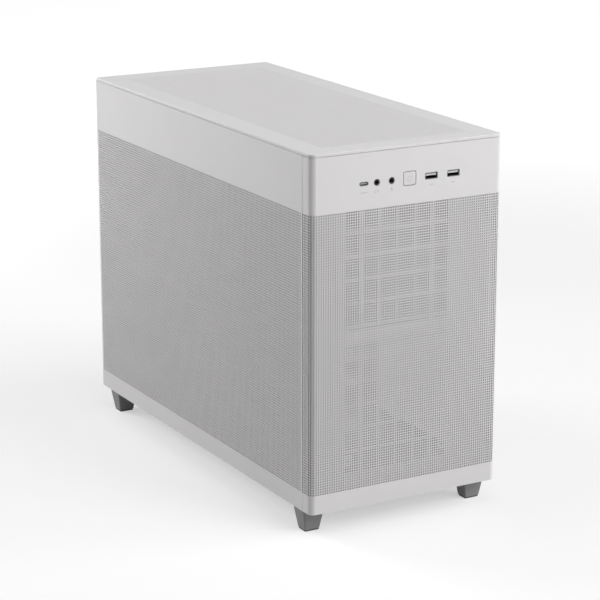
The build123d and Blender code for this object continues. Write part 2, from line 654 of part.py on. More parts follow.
# ---------------------------------------------------------------- top cover
with BuildPart() as top_cover:
    with BuildSketch(Plane.XY.offset(HEIGHT - COVER_EDGE)) as cover_outline:
        Rectangle(WIDTH, DEPTH)
        fillet(cover_outline.vertices().group_by(Axis.Y)[0], FRONT_RADIUS)
        fillet(cover_outline.vertices().group_by(Axis.Y)[-1], REAR_RADIUS)
    extrude(amount=COVER_EDGE)
    with BuildSketch(Plane.XY.offset(HEIGHT - COVER_EDGE)) as cover_inside:
        Rectangle(WIDTH - 2 * SKIN, DEPTH - 2 * SKIN)
        fillet(cover_inside.vertices().group_by(Axis.Y)[0], FRONT_RADIUS - SKIN)
    extrude(amount=COVER_EDGE - SKIN, mode=Mode.SUBTRACT)
    fillet(top_cover.faces().sort_by(Axis.Z)[-1].edges(), SKIN * 0.6)
top_cover.part.label = "top_cover"
export_step(top_cover.part, "parts/top_cover.step")

with BuildPart() as top_cover_studs:
    for place in TOP_STUDS:
        snap_stud("Z", HEIGHT - SKIN, -1, place, HEIGHT - SKIN - FRAME_TOP - CLEAR)
top_cover_studs.part.label = "top_cover_studs"
export_step(top_cover_studs.part, "parts/top_cover_studs.step")

# ---------------------------------------------------------------- front panel
with BuildPart() as front_panel:
    with BuildSketch(Plane.XY.offset(BODY_Z)) as front_outline:
        with Locations((0.0, FRONT_Y + FRONT_DEPTH / 2)):
            Rectangle(WIDTH, FRONT_DEPTH)
        fillet(front_outline.vertices().group_by(Axis.Y)[0], FRONT_RADIUS)
    extrude(amount=SKIN_TOP - BODY_Z)
    with BuildSketch(Plane.XY.offset(BODY_Z + FRONT_SKIN)) as front_inside:
        with Locations((0.0, FRONT_Y + FRONT_SKIN + FRONT_DEPTH / 2)):
            Rectangle(WIDTH - 2 * FRONT_SKIN, FRONT_DEPTH)
        fillet(front_inside.vertices().group_by(Axis.Y)[0], FRONT_RADIUS - FRONT_SKIN)
    extrude(amount=SKIN_TOP - BODY_Z - 2 * FRONT_SKIN, mode=Mode.SUBTRACT)
    with BuildSketch(Plane.XZ.offset(-FRONT_Y - FRONT_SKIN / 2)):
        with Locations((USB_C_X, PORT_Z)):
            SlotOverall(USB_C_WIDTH + 2 * CUTOUT_GAP, USB_C_HEIGHT + 2 * CUTOUT_GAP)
        with Locations([(jack_x, PORT_Z) for jack_x in (HEADPHONE_X, MICROPHONE_X)]):
            Circle(JACK_NOSE + CUTOUT_GAP)
        with Locations((BUTTON_X, PORT_Z)):
            RectangleRounded(
                BUTTON_WIDTH + 2 * BUTTON_GROOVE,
                BUTTON_HEIGHT + 2 * BUTTON_GROOVE,
                BUTTON_CORNER + BUTTON_GROOVE,
            )
        with Locations([(usb_x, PORT_Z) for usb_x in USB_A_X]):
            RectangleRounded(USB_A_WIDTH + 2 * CUTOUT_GAP, USB_A_HEIGHT + 2 * CUTOUT_GAP, 0.8)
        open_field((FRONT_RADIUS - HALF_WIDTH, HALF_WIDTH - FRONT_RADIUS), FIELD_Z, FRONT_PITCH)
    extrude(amount=FRONT_SKIN, both=True, mode=Mode.SUBTRACT)
front_panel.part.label = "front_panel"
export_step(front_panel.part, "parts/front_panel.step")

with BuildPart() as front_panel_studs:
    for place in FRONT_STUDS:
        snap_stud("Y", FRONT_Y + FRONT_SKIN, 1, place, FRAME_FRONT - CLEAR - FRONT_Y - FRONT_SKIN)
front_panel_studs.part.label = "front_panel_studs"
export_step(front_panel_studs.part, "parts/front_panel_studs.step")

# ================================================================ front controls
IO_BOARD_TOP = PORT_Z - USB_A_HEIGHT / 2  # the sockets stand on this face
IO_BOARD_X = 58.0
GUIDE_Y = (FRONT_Y + 8.4, FRONT_Y + 12.6)
IO_BOARD_Y = (GUIDE_Y[0] + 0.5, INNER_FRONT + 14.0)
IO_PLATE_Z = IO_BOARD_TOP - BOARD - 2.6
GUIDE_HALF = 5.6
BUTTON_BACK = FRONT_Y + BUTTON_CAP_DEPTH
SWITCH_Y = FRONT_Y + 16.5
USB_A_DEPTH = INNER_FRONT - PORT_FACE - 1.0
SWITCH_SIZE = 6.0
PLUNGER = 1.4

with BuildPart() as front_io_bracket:
    slab((-IO_BOARD_X, IO_BOARD_X), (IO_BOARD_Y[0], INNER_FRONT + SHEET), (IO_PLATE_Z - SHEET, IO_PLATE_Z))
    slab(
        (-IO_BOARD_X, IO_BOARD_X),
        (INNER_FRONT, INNER_FRONT + SHEET),
        (IO_WINDOW_Z[0] - 12.0, IO_PLATE_Z - SHEET),
    )
    for side in (-1, 1):
        x = side * BRACKET_HOLES_X / 2
        rod("Y", SCREW_HOLE, (INNER_FRONT - 1, INNER_FRONT + 2), (x, IO_WINDOW_Z[0] - 6.0), Mode.SUBTRACT)
        for y in (IO_BOARD_Y[0] + 4.0, INNER_FRONT - 4.0):
            rod("Z", 2.4, (IO_PLATE_Z, IO_BOARD_TOP - BOARD), (side * (IO_BOARD_X - 3.0), y))
front_io_bracket.part.label = "front_io_bracket"
export_step(front_io_bracket.part, "parts/front_io_bracket.step")

with BuildPart() as front_io_board:
    slab((-IO_BOARD_X, IO_BOARD_X), IO_BOARD_Y, (IO_BOARD_TOP - BOARD, IO_BOARD_TOP))
front_io_board.part.label = "front_io_board"
export_step(front_io_board.part, "parts/front_io_board.step")

with BuildPart() as power_button_guide:
    slab((BUTTON_X - GUIDE_HALF, BUTTON_X + GUIDE_HALF), GUIDE_Y, (IO_BOARD_TOP, PORT_Z + GUIDE_HALF))
    slab(
        (BUTTON_X - STEM / 2 - RUNNING, BUTTON_X + STEM / 2 + RUNNING),
        (GUIDE_Y[0] - OVERCUT, GUIDE_Y[1] + OVERCUT),
        (PORT_Z - STEM / 2 - RUNNING, PORT_Z + STEM / 2 + RUNNING),
        Mode.SUBTRACT,
    )
power_button_guide.part.label = "power_button_guide"
export_step(power_button_guide.part, "parts/power_button_guide.step")

with BuildPart() as power_switch:
    slab(
        (BUTTON_X - SWITCH_SIZE / 2, BUTTON_X + SWITCH_SIZE / 2),
        (SWITCH_Y, SWITCH_Y + SWITCH_SIZE),
        (IO_BOARD_TOP, PORT_Z + SWITCH_SIZE / 2),
    )
    rod("Y", PLUNGER + RUNNING, (SWITCH_Y - 1, SWITCH_Y + 3.5), (BUTTON_X, PORT_Z), Mode.SUBTRACT)
power_switch.part.label = "power_switch"
export_step(power_switch.part, "parts/power_switch.step")

with BuildPart() as power_button:
    with BuildSketch(Plane.XZ.offset(-FRONT_Y)):
        with Locations((BUTTON_X, PORT_Z)):
            RectangleRounded(BUTTON_WIDTH, BUTTON_HEIGHT, BUTTON_CORNER)
    extrude(amount=-BUTTON_CAP_DEPTH)
    fillet(power_button.faces().sort_by(Axis.Y)[0].edges(), 0.4)
    slab(
        (BUTTON_X - STEM / 2, BUTTON_X + STEM / 2),
        (BUTTON_BACK, GUIDE_Y[1] + 1.5),
        (PORT_Z - STEM / 2, PORT_Z + STEM / 2),
    )
    rod("Y", PLUNGER, (GUIDE_Y[1], SWITCH_Y + 1.5), (BUTTON_X, PORT_Z))
power_button.part.label = "power_button"
export_step(power_button.part, "parts/power_button.step")

SPRING_RADIUS = 4.3
SPRING_WIRE = 0.3
SPRING_TURNS = 3
spring_y = (BUTTON_BACK + SPRING_WIRE, GUIDE_Y[0] - SPRING_WIRE)
spring_length = spring_y[1] - spring_y[0]

with BuildPart() as power_button_spring:
    with BuildLine() as coil:
        Helix(
            pitch=spring_length / SPRING_TURNS,
            height=spring_length,
            radius=SPRING_RADIUS,
            center=(BUTTON_X, spring_y[0], PORT_Z),
            direction=(0, 1, 0),
        )
    with BuildSketch(Plane(origin=coil.line @ 0, z_dir=coil.line % 0)):
        Circle(SPRING_WIRE)
    sweep()
power_button_spring.part.label = "power_button_spring"
export_step(power_button_spring.part, "parts/power_button_spring.step")

with BuildPart() as usb_ports:
    depth = INNER_FRONT - PORT_FACE - 2.0
    with BuildSketch(Plane.XZ.offset(-PORT_FACE)):
        with Locations((USB_C_X, PORT_Z)):
            SlotOverall(USB_C_WIDTH, USB_C_HEIGHT)
    extrude(amount=-depth)
    with BuildSketch(Plane.XZ.offset(-PORT_FACE)):
        with Locations((USB_C_X, PORT_Z)):
            SlotOverall(USB_C_WIDTH - 2 * USB_C_SHELL, USB_C_HEIGHT - 2 * USB_C_SHELL)
    extrude(amount=-(depth - 1.0), mode=Mode.SUBTRACT)
    slab(
        (USB_C_X - USB_C_WIDTH / 2 + 1.5, USB_C_X + USB_C_WIDTH / 2 - 1.5),
        (IO_BOARD_Y[0] + 1.0, PORT_FACE + depth),
        (IO_BOARD_TOP, PORT_Z - USB_C_HEIGHT / 2 + USB_C_SHELL / 2),
    )
    for usb_x in USB_A_X:
        slab(
            (usb_x - USB_A_WIDTH / 2, usb_x + USB_A_WIDTH / 2),
            (PORT_FACE, PORT_FACE + USB_A_DEPTH),
            (PORT_Z - USB_A_HEIGHT / 2, PORT_Z + USB_A_HEIGHT / 2),
        )
        slab(
            (usb_x - USB_A_WIDTH / 2 + USB_SHELL, usb_x + USB_A_WIDTH / 2 - USB_SHELL),
            (PORT_FACE - 1, PORT_FACE + USB_A_DEPTH - 1.0),
            (PORT_Z - USB_A_HEIGHT / 2 + USB_SHELL, PORT_Z + USB_A_HEIGHT / 2 - USB_SHELL),
            Mode.SUBTRACT,
        )
usb_ports.part.label = "usb_ports"
export_step(usb_ports.part, "parts/usb_ports.step")

with BuildPart() as audio_jacks:
    for jack_x in (HEADPHONE_X, MICROPHONE_X):
        slab(
            (jack_x - 3.4, jack_x + 3.4),
            (IO_BOARD_Y[0] - 1.0, PORT_FACE + JACK_DEPTH),
            (IO_BOARD_TOP, PORT_Z + USB_A_HEIGHT / 2),
        )
        rod("Y", JACK_NOSE, (PORT_FACE, IO_BOARD_Y[0]), (jack_x, PORT_Z))
        rod("Y", JACK_RADIUS, (PORT_FACE - 1, PORT_FACE + JACK_DEPTH + 1), (jack_x, PORT_Z), Mode.SUBTRACT)
audio_jacks.part.label = "audio_jacks"
export_step(audio_jacks.part, "parts/audio_jacks.step")

with BuildPart() as usb_tongues:
    for usb_x in USB_A_X:
        slab(
            (usb_x - USB_A_TONGUE / 2, usb_x + USB_A_TONGUE / 2),
            (PORT_FACE + TONGUE_RECESS, PORT_FACE + USB_A_DEPTH - 1.0),
            (PORT_Z + USB_A_TONGUE_Z[0], PORT_Z + USB_A_TONGUE_Z[1]),
        )
    slab(
        (USB_C_X - USB_C_TONGUE[0] / 2, USB_C_X + USB_C_TONGUE[0] / 2),
        (PORT_FACE + TONGUE_RECESS, INNER_FRONT - 3.0),
        (PORT_Z - USB_C_TONGUE[1] / 2, PORT_Z + USB_C_TONGUE[1] / 2),
    )
usb_tongues.part.label = "usb_tongues"
export_step(usb_tongues.part, "parts/usb_tongues.step")

# ================================================================ main board
SOCKET_X = BOARD_X - SOCKET_THICKNESS
LID_X = SOCKET_X - CPU_THICKNESS
COOLER_X = LID_X - COLD_PLATE_THICKNESS

BOARD_BLOCKS = [  # height, and limits from the rear and from the top edge of the board
    (22.0, (36.0, 21.0), (125.0, 43.0)),  # regulator heat sink behind the ports
    (18.0, (123.0, 65.0), (24.0, 10.0)),  # regulator heat sink along the top
    (9.0, (205.0, 155.0), (222.0, 182.0)),  # chipset heat sink
]
COIL_SIZE = (5.0, 10.0)  # height, side
BOARD_BLOCKS += [(COIL_SIZE[0], (50.0, 40.0), (119.0 - i * 14.0, 109.0 - i * 14.0)) for i in range(5)]

with BuildPart() as motherboard:
    slab((BOARD_X, BOARD_X + BOARD), (BOARD_REAR - BOARD_SIZE, BOARD_REAR), (BOARD_BOTTOM, BOARD_TOP))
    for place in BOARD_HOLES:
        rod("X", SCREW_HOLE, (BOARD_X - 1, BOARD_X + BOARD + 1), place, Mode.SUBTRACT)
    half = SOCKET_SIZE / 2
    slab((SOCKET_X, BOARD_X), (CPU_Y - half, CPU_Y + half), (CPU_Z - half, CPU_Z + half))
    for height, from_rear, from_top in BOARD_BLOCKS:
        slab(
            (BOARD_X - height, BOARD_X),
            (BOARD_REAR - from_rear[0], BOARD_REAR - from_rear[1]),
            (BOARD_TOP - from_top[0], BOARD_TOP - from_top[1]),
        )
motherboard.part.label = "motherboard"
export_step(motherboard.part, "parts/motherboard.step")

with BuildPart() as standoffs:
    with BuildSketch(Plane.YZ.offset(TRAY_X - STANDOFF)):
        with Locations(BOARD_HOLES):
            RegularPolygon(radius=3.2, side_count=6)
            Circle(SCREW_RADIUS + RUNNING, mode=Mode.SUBTRACT)
    extrude(amount=STANDOFF)
standoffs.part.label = "standoffs"
export_step(standoffs.part, "parts/standoffs.step")

# ---------------------------------------------------------------- rear ports and their shield
PORT_BLOCKS = (  # centre below the top of the opening, length, reach above the board
    (14.0, 16.0, 32.0),
    (38.0, 22.0, 13.0),
    (62.0, 16.0, 30.0),
    (84.0, 16.0, 16.0),
    (108.0, 17.0, 30.0),
    (136.0, 26.0, 13.0),
)
SHIELD = 0.8
PORT_BACK = 18.0
PORT_GAP = 2.6  # round the core of each rear socket

with BuildPart() as rear_ports:
    for drop, length, reach in PORT_BLOCKS:
        z = IO_TOP - drop
        across = (BOARD_X - reach, BOARD_X)
        slab(across, (INNER_REAR - PORT_BACK, FRAME_REAR), (z - length / 2, z + length / 2))
        slab(
            (across[0] + 1.2, across[1] - 2.4),
            (FRAME_REAR - 11.0, FRAME_REAR + OVERCUT),
            (z - length / 2 + 1.2, z + length / 2 - 1.2),
            Mode.SUBTRACT,
        )
        slab(
            (across[0] + 1.2 + PORT_GAP, across[1] - 2.4 - PORT_GAP),
            (FRAME_REAR - 11.0, FRAME_REAR - 1.5),
            (z - length / 2 + 1.2 + PORT_GAP, z + length / 2 - 1.2 - PORT_GAP),
        )
rear_ports.part.label = "rear_ports"
export_step(rear_ports.part, "parts/rear_ports.step")

with BuildPart() as io_shield:
    slab(
        (IO_X - IO_WIDTH / 2 + RUNNING, IO_X + IO_WIDTH / 2 - RUNNING),
        (FRAME_REAR - SHIELD, FRAME_REAR),
        (IO_Z - IO_LENGTH / 2 + RUNNING, IO_Z + IO_LENGTH / 2 - RUNNING),
    )
    for drop, length, reach in PORT_BLOCKS:
        z = IO_TOP - drop
        slab(
            (BOARD_X - reach - RUNNING, BOARD_X + RUNNING),
            (FRAME_REAR - OVERCUT, FRAME_REAR + OVERCUT),
            (z - length / 2 - RUNNING, z + length / 2 + RUNNING),
            Mode.SUBTRACT,
        )
io_shield.part.label = "io_shield"
export_step(io_shield.part, "parts/io_shield.step")

# ---------------------------------------------------------------- processor and cooler
with BuildPart() as cpu:
    with Locations((middle((LID_X, SOCKET_X)), CPU_Y, CPU_Z)):
        Box(CPU_THICKNESS, CPU_SIZE, CPU_SIZE)
    fillet(cpu.edges().filter_by(Axis.X), 1.5)
cpu.part.label = "cpu"
export_step(cpu.part, "parts/cpu.step")

FIRST_FIN_X = COOLER_X - FIN_START
COOLER_CLEAR = 30.9  # side panel to the last fin
FIN_COUNT = round((FIRST_FIN_X + HALF_WIDTH - SKIN - COOLER_CLEAR) / FIN_PITCH)
COOLER_FAN_X = FIRST_FIN_X - FIN_COUNT * FIN_PITCH / 2 - 3.4
COOLER_FAN_SIZE = FIN_COUNT * FIN_PITCH + 16.0
PIPE_PLACES = corners(*PIPE_SPACING, (CPU_Y, CPU_Z))

with BuildPart() as cooler_heatsink:
    with Locations((middle((COOLER_X, LID_X)), CPU_Y, CPU_Z)):
        Box(COLD_PLATE_THICKNESS, COLD_PLATE, COLD_PLATE)
    last_fin_x = FIRST_FIN_X - FIN_COUNT * FIN_PITCH
    for i in range(FIN_COUNT):
        x = FIRST_FIN_X - i * FIN_PITCH
        slab(
            (x - FIN_THICKNESS, x),
            (CPU_Y - FIN_DEPTH / 2, CPU_Y + FIN_DEPTH / 2),
            (CPU_Z - FIN_LENGTH / 2, CPU_Z + FIN_LENGTH / 2),
        )
    for place in PIPE_PLACES:
        rod("X", PIPE_RADIUS, (last_fin_x, COOLER_X + 5.0), place)
        reach = (CPU_Z, place[1])
        rod("Z", PIPE_RADIUS, reach, (COOLER_X + 4.5, place[0]))
cooler_heatsink.part.label = "cooler_heatsink"
export_step(cooler_heatsink.part, "parts/cooler_heatsink.step")

MOUNT_SPACING = 78.0
MOUNT_BAR = 2.0
MOUNT_EDGE = 5.0  # screw to the end of a bar
with BuildPart() as cooler_mount:
    bar_x = COOLER_X - MOUNT_BAR
    mount_half = MOUNT_SPACING / 2 + MOUNT_EDGE
    slab((bar_x, COOLER_X), (CPU_Y - mount_half, CPU_Y + mount_half), (CPU_Z - 6.0, CPU_Z + 6.0))
    for side in (-1, 1):
        y = CPU_Y + side * MOUNT_SPACING / 2
        slab((bar_x, COOLER_X), (y - MOUNT_EDGE, y + MOUNT_EDGE), (CPU_Z - mount_half, CPU_Z + mount_half))
        for end in (-1, 1):
            rod("X", 2.5, (COOLER_X, BOARD_X), (y, CPU_Z + end * MOUNT_SPACING / 2))
cooler_mount.part.label = "cooler_mount"
export_step(cooler_mount.part, "parts/cooler_mount.step")

cooler_fan_plane = Plane(
    origin=(COOLER_FAN_X, CPU_Y - FIN_DEPTH / 2 - CLEAR, CPU_Z), x_dir=(1, 0, 0), z_dir=(0, -1, 0)
)
cooler_fan_frame = fan_frame(cooler_fan_plane, COOLER_FAN_SIZE)
cooler_fan_frame.part.label = "cooler_fan_frame"
export_step(cooler_fan_frame.part, "parts/cooler_fan_frame.step")

cooler_fan_rotor = fan_rotor(cooler_fan_plane, COOLER_FAN_SIZE)
cooler_fan_rotor.part.label = "cooler_fan_rotor"
export_step(cooler_fan_rotor.part, "parts/cooler_fan_rotor.step")

# ---------------------------------------------------------------- memory
MEMORY_Y = [BOARD_REAR - from_rear for from_rear in MEMORY_FROM_REAR]
MEMORY_SLOT_Z = (BOARD_TOP - 8.0 - MEMORY_SLOT_LENGTH, BOARD_TOP - 8.0)
MEMORY_Z = (MEMORY_SLOT_Z[0] + 3.3, MEMORY_SLOT_Z[0] + 3.3 + MEMORY_LENGTH)
MEMORY_SEAT = BOARD_X - 3.0
CARD_SLOT = (11.0, 89.0, 7.6)  # height, length, width
CARD_SLOT_REAR = BOARD_REAR - 46.0
CARD_EDGE = 1.8

with BuildPart() as board_slots:
    for y in MEMORY_Y:
        slab(
            (BOARD_X - MEMORY_SLOT_HEIGHT, BOARD_X),
            (y - MEMORY_SLOT_WIDTH / 2, y + MEMORY_SLOT_WIDTH / 2),
            MEMORY_SLOT_Z,
        )
        slab(
            (BOARD_X - MEMORY_SLOT_HEIGHT - 1, MEMORY_SEAT),
            (y - MEMORY_KEEL / 2 - RUNNING, y + MEMORY_KEEL / 2 + RUNNING),
            (MEMORY_Z[0] - RUNNING, MEMORY_Z[1] + RUNNING),
            Mode.SUBTRACT,
        )
    slab(
        (BOARD_X - CARD_SLOT[0], BOARD_X),
        (CARD_SLOT_REAR - CARD_SLOT[1], CARD_SLOT_REAR),
        (SLOT_CENTRES[0] - CARD_SLOT[2] / 2, SLOT_CENTRES[0] + CARD_SLOT[2] / 2),
    )
    slab(
        (BOARD_X - CARD_SLOT[0] - OVERCUT, BOARD_X - 4.0),
        (CARD_SLOT_REAR - CARD_SLOT[1] + 3.0, CARD_SLOT_REAR - 3.0),
        (SLOT_CENTRES[0] - CARD_EDGE / 2, SLOT_CENTRES[0] + CARD_EDGE / 2),
        Mode.SUBTRACT,
    )
board_slots.part.label = "board_slots"
export_step(board_slots.part, "parts/board_slots.step")

with BuildPart() as memory_modules:
    for y in MEMORY_Y:
        keel = (y - MEMORY_KEEL / 2, y + MEMORY_KEEL / 2)
        slab((MEMORY_SEAT - MEMORY_HEIGHT, MEMORY_SEAT), keel, MEMORY_Z)
        slab(
            (MEMORY_SEAT - MEMORY_HEIGHT - 1.0, BOARD_X - MEMORY_SLOT_HEIGHT - 1.0),
            (y - MEMORY_THICKNESS / 2, y + MEMORY_THICKNESS / 2),
            (MEMORY_Z[0] + 1.0, MEMORY_Z[1] - 1.0),
        )
memory_modules.part.label = "memory_modules"
export_step(memory_modules.part, "parts/memory_modules.step")

LATCH_X = BOARD_X - LATCH_RADIUS - CLEAR
LATCH_Z = MEMORY_SLOT_Z[1] + LATCH_RADIUS + CLEAR
for i, y in enumerate(MEMORY_Y):
    with BuildPart() as memory_latch:
        width = (y - LATCH_WIDTH / 2, y + LATCH_WIDTH / 2)
        rod("Y", LATCH_RADIUS, width, (LATCH_X, LATCH_Z))
        slab((LATCH_X - LATCH_REACH, LATCH_X), width, (LATCH_Z - LATCH_RADIUS, LATCH_Z + 1.0))
        slab((LATCH_X - LATCH_REACH, LATCH_X - LATCH_REACH + 2.5), width, (LATCH_Z, LATCH_Z + 3.0))
    memory_latch.part.label = f"memory_latch_{i + 1}"
    export_step(memory_latch.part, f"parts/memory_latch_{i + 1}.step")

# ---------------------------------------------------------------- expansion slot covers
COVER_WIDTH = 18.4
COVER_SHEET = 0.8
with BuildPart() as slot_covers:
    for centre in SLOT_CENTRES:
        tall = (centre - COVER_WIDTH / 2, centre + COVER_WIDTH / 2)
        slab((SHELF_X - COVER_SHEET, BOARD_X - 2.0), (INNER_REAR - COVER_SHEET, INNER_REAR), tall)
        slab((SHELF_X - COVER_SHEET, SHELF_X), (INNER_REAR - LIP, INNER_REAR), tall)
    for centre in SLOT_CENTRES:
        tall = (centre - COVER_WIDTH / 2 - 1, centre + COVER_WIDTH / 2 + 1)
        slab((SHELF_X, SHELF_X + SHEET), (INNER_REAR - COVER_SHEET - 1, INNER_REAR), tall, Mode.SUBTRACT)
        rod("X", SCREW_HOLE, (SHELF_X - 2, SHELF_X + 2), (INNER_REAR - LIP / 2, centre), Mode.SUBTRACT)
slot_covers.part.label = "slot_covers"
export_step(slot_covers.part, "parts/slot_covers.step")

# ---------------------------------------------------------------- rear fan
rear_fan_plane = Plane(origin=(REAR_FAN_X, INNER_REAR, REAR_FAN_Z), x_dir=(1, 0, 0), z_dir=(0, -1, 0))
rear_fan_frame = fan_frame(rear_fan_plane, REAR_FAN_SIZE)
rear_fan_frame.part.label = "rear_fan_frame"
export_step(rear_fan_frame.part, "parts/rear_fan_frame.step")

rear_fan_rotor = fan_rotor(rear_fan_plane, REAR_FAN_SIZE)
rear_fan_rotor.part.label = "rear_fan_rotor"
export_step(rear_fan_rotor.part, "parts/rear_fan_rotor.step")

# ================================================================ power supply
SUPPLY_WALL = 1.0
SUPPLY_X = 0.0
SUPPLY_FAN_Z = SUPPLY_Z + SUPPLY_LENGTH / 2
SUPPLY_INLET_X = -42.0
SWITCH_X = -10.0
SUPPLY_VENT_X = 38.0
SUPPLY_VENT_PITCH = 6.0
SUPPLY_VENT_RADIUS = 2.0
SUPPLY_VENTS = 9
SUPPLY_BLOCKS = (  # place across and up from the fan's axis, width, length, height
    (20.0, 10.0, 34.0, 34.0, 38.0),  # transformer
    (-32.0, 8.0, 4.0, 90.0, 40.0),  # heat sink
    (52.0, 4.0, 4.0, 90.0, 36.0),  # heat sink
    (-12.0, -22.0, 22.0, 22.0, 30.0),  # capacitor
)
SUPPLY_SCREWS = corners(138.0, 64.0, (SUPPLY_X, SUPPLY_Y))
SUPPLY_SCREW_HOLE = SCREW_RADIUS + RUNNING
LEAD_EXIT = (48.0, SUPPLY_Y + 22.0)
LEAD_RADIUS = 4.5
supply_fan_plane = Plane(
    origin=(SUPPLY_X, SUPPLY_FRONT + SUPPLY_WALL + FAN_DEPTH, SUPPLY_FAN_Z),
    x_dir=(1, 0, 0),
    z_dir=(0, -1, 0),
)
SWITCH_Z = SUPPLY_Z + 4.6  # axis of the rocker

with BuildPart() as psu_case:
    half = SUPPLY_WIDTH / 2
    slab((-half, half), (SUPPLY_FRONT, SUPPLY_REAR), (SUPPLY_Z, SUPPLY_TOP))
    slab(
        (-half + SUPPLY_WALL, half - SUPPLY_WALL),
        (SUPPLY_FRONT + SUPPLY_WALL, SUPPLY_REAR - SUPPLY_WALL),
        (SUPPLY_Z + SUPPLY_WALL, SUPPLY_TOP - SUPPLY_WALL),
        Mode.SUBTRACT,
    )
    extrude(
        guard_sketch(supply_fan_plane.offset(FAN_DEPTH + SUPPLY_WALL / 2)),
        amount=SUPPLY_WALL,
        both=True,
        mode=Mode.SUBTRACT,
    )
    with BuildSketch(Plane.XY.offset(SUPPLY_Z)):
        with Locations((SUPPLY_INLET_X, SUPPLY_Y)):
            Rectangle(INLET_WIDTH + 2 * CLEAR, INLET_HEIGHT + 2 * CLEAR)
        with Locations((SWITCH_X, SUPPLY_Y)):
            Rectangle(2 * SWITCH_RADIUS + 4.0, SWITCH_WIDTH + 4.0)
        with Locations((SUPPLY_VENT_X, SUPPLY_Y)):
            with GridLocations(SUPPLY_VENT_PITCH, SUPPLY_VENT_PITCH, SUPPLY_VENTS, SUPPLY_VENTS):
                Circle(SUPPLY_VENT_RADIUS)
        with Locations(SUPPLY_SCREWS):
            Circle(SUPPLY_SCREW_HOLE)
    extrude(amount=SUPPLY_WALL, mode=Mode.SUBTRACT)
    rod("Z", LEAD_RADIUS + CLEAR, (SUPPLY_TOP - 2, SUPPLY_TOP + 1), LEAD_EXIT, Mode.SUBTRACT)
psu_case.part.label = "psu_case"
export_step(psu_case.part, "parts/psu_case.step")

with BuildPart() as psu_board:
    board_y = SUPPLY_REAR - SUPPLY_WALL - 6.0
    slab((-half + 4, half - 4), (board_y, board_y + BOARD), (SUPPLY_Z + 4, SUPPLY_TOP - 4))
    for x, rise, across, length, tall in SUPPLY_BLOCKS:
        z = SUPPLY_FAN_Z + rise
        slab((x - across / 2, x + across / 2), (board_y - tall, board_y), (z - length / 2, z + length / 2))
    for x in (-half + 10, half - 10):
        for z in (SUPPLY_Z + 12, SUPPLY_TOP - 12):
            rod("Y", 3.0, (board_y + BOARD, SUPPLY_REAR - SUPPLY_WALL), (x, z))
psu_board.part.label = "psu_board"
export_step(psu_board.part, "parts/psu_board.step")

psu_fan_frame = fan_frame(supply_fan_plane)
psu_fan_frame.part.label = "psu_fan_frame"
export_step(psu_fan_frame.part, "parts/psu_fan_frame.step")

psu_fan_rotor = fan_rotor(supply_fan_plane)
psu_fan_rotor.part.label = "psu_fan_rotor"
export_step(psu_fan_rotor.part, "parts/psu_fan_rotor.step")

# ---------------------------------------------------------------- bracket under the power supply
BRACKET_HALF = 81.0
BRACKET_DROP = 24.0
BRACKET_EAR = 21.0
with BuildPart() as psu_bracket:
    slab((-BRACKET_HALF, BRACKET_HALF), (INNER_FRONT, SUPPLY_REAR + 4.0), (SUPPLY_Z - SHEET, SUPPLY_Z))
    for side in (-1, 1):
        edge = side * BRACKET_HALF
        slab(
            (edge - side * BRACKET_EAR, edge),
            (INNER_FRONT, INNER_FRONT + SHEET),
            (SUPPLY_Z - BRACKET_DROP, SUPPLY_Z - SHEET),
        )
        slab((edge - side * SHEET, edge), (INNER_FRONT, SUPPLY_REAR + 4.0), (SUPPLY_Z, SUPPLY_Z + 14.0))
        hole = (side * BRACKET_HOLES_X, BRACKET_HOLE_Z)
        rod("Y", SCREW_HOLE, (INNER_FRONT - 1, INNER_FRONT + 2), hole, Mode.SUBTRACT)
    with BuildSketch(Plane.XY.offset(SUPPLY_Z - SHEET)):
        with Locations((SUPPLY_INLET_X, SUPPLY_Y)):
            Rectangle(INLET_WIDTH + 7.0, INLET_HEIGHT + 7.0)
        with Locations((SWITCH_X, SUPPLY_Y)):
            Rectangle(2 * SWITCH_RADIUS + 9.0, SWITCH_WIDTH + 9.0)
        with Locations([(SUPPLY_VENT_X + (i - 2) * 9.0, SUPPLY_Y) for i in range(5)]):
            SlotOverall(SUPPLY_VENTS * SUPPLY_VENT_PITCH, SUPPLY_VENT_PITCH, rotation=90)
        with Locations(SUPPLY_SCREWS):
            Circle(SCREW_HOLE)
    extrude(amount=SHEET, mode=Mode.SUBTRACT)
psu_bracket.part.label = "psu_bracket"
export_step(psu_bracket.part, "parts/psu_bracket.step")


# ---------------------------------------------------------------- mains inlets and switch
def mains_inlet(place):
    """Three-pin mains inlet seated in a sheet; the plane lies on the sheet's outer face, Z outwards."""
    with BuildPart() as inlet:
        with BuildSketch(place):
            Rectangle(INLET_WIDTH, INLET_HEIGHT)
        extrude(amount=-INLET_DEPTH)
        with BuildSketch(place):
            RectangleRounded(INLET_WIDTH + 4.0, INLET_HEIGHT + 4.0, 1.5)
        extrude(amount=CLEAR * 3)
        with BuildSketch(place.offset(CLEAR * 3)):
            Rectangle(INLET_WIDTH - 2 * INLET_WALL, INLET_HEIGHT - 2 * INLET_WALL)
        extrude(amount=-(INLET_DEPTH - 2.0), mode=Mode.SUBTRACT)
        with BuildSketch(place.offset(-INLET_DEPTH + 1.5)):
            with Locations(INLET_PINS):
                Rectangle(*INLET_PIN)
        extrude(amount=INLET_DEPTH - 5.0)
    return inlet


supply_inlet_plane = Plane(origin=(SUPPLY_INLET_X, SUPPLY_Y, SUPPLY_Z), x_dir=(1, 0, 0), z_dir=(0, 0, -1))
psu_inlet = mains_inlet(supply_inlet_plane)
psu_inlet.part.label = "psu_inlet"
export_step(psu_inlet.part, "parts/psu_inlet.step")

rear_inlet = mains_inlet(Plane(origin=(MAINS_X, FRAME_REAR, MAINS_Z), x_dir=(1, 0, 0), z_dir=(0, 1, 0)))
rear_inlet.part.label = "rear_inlet"
export_step(rear_inlet.part, "parts/rear_inlet.step")

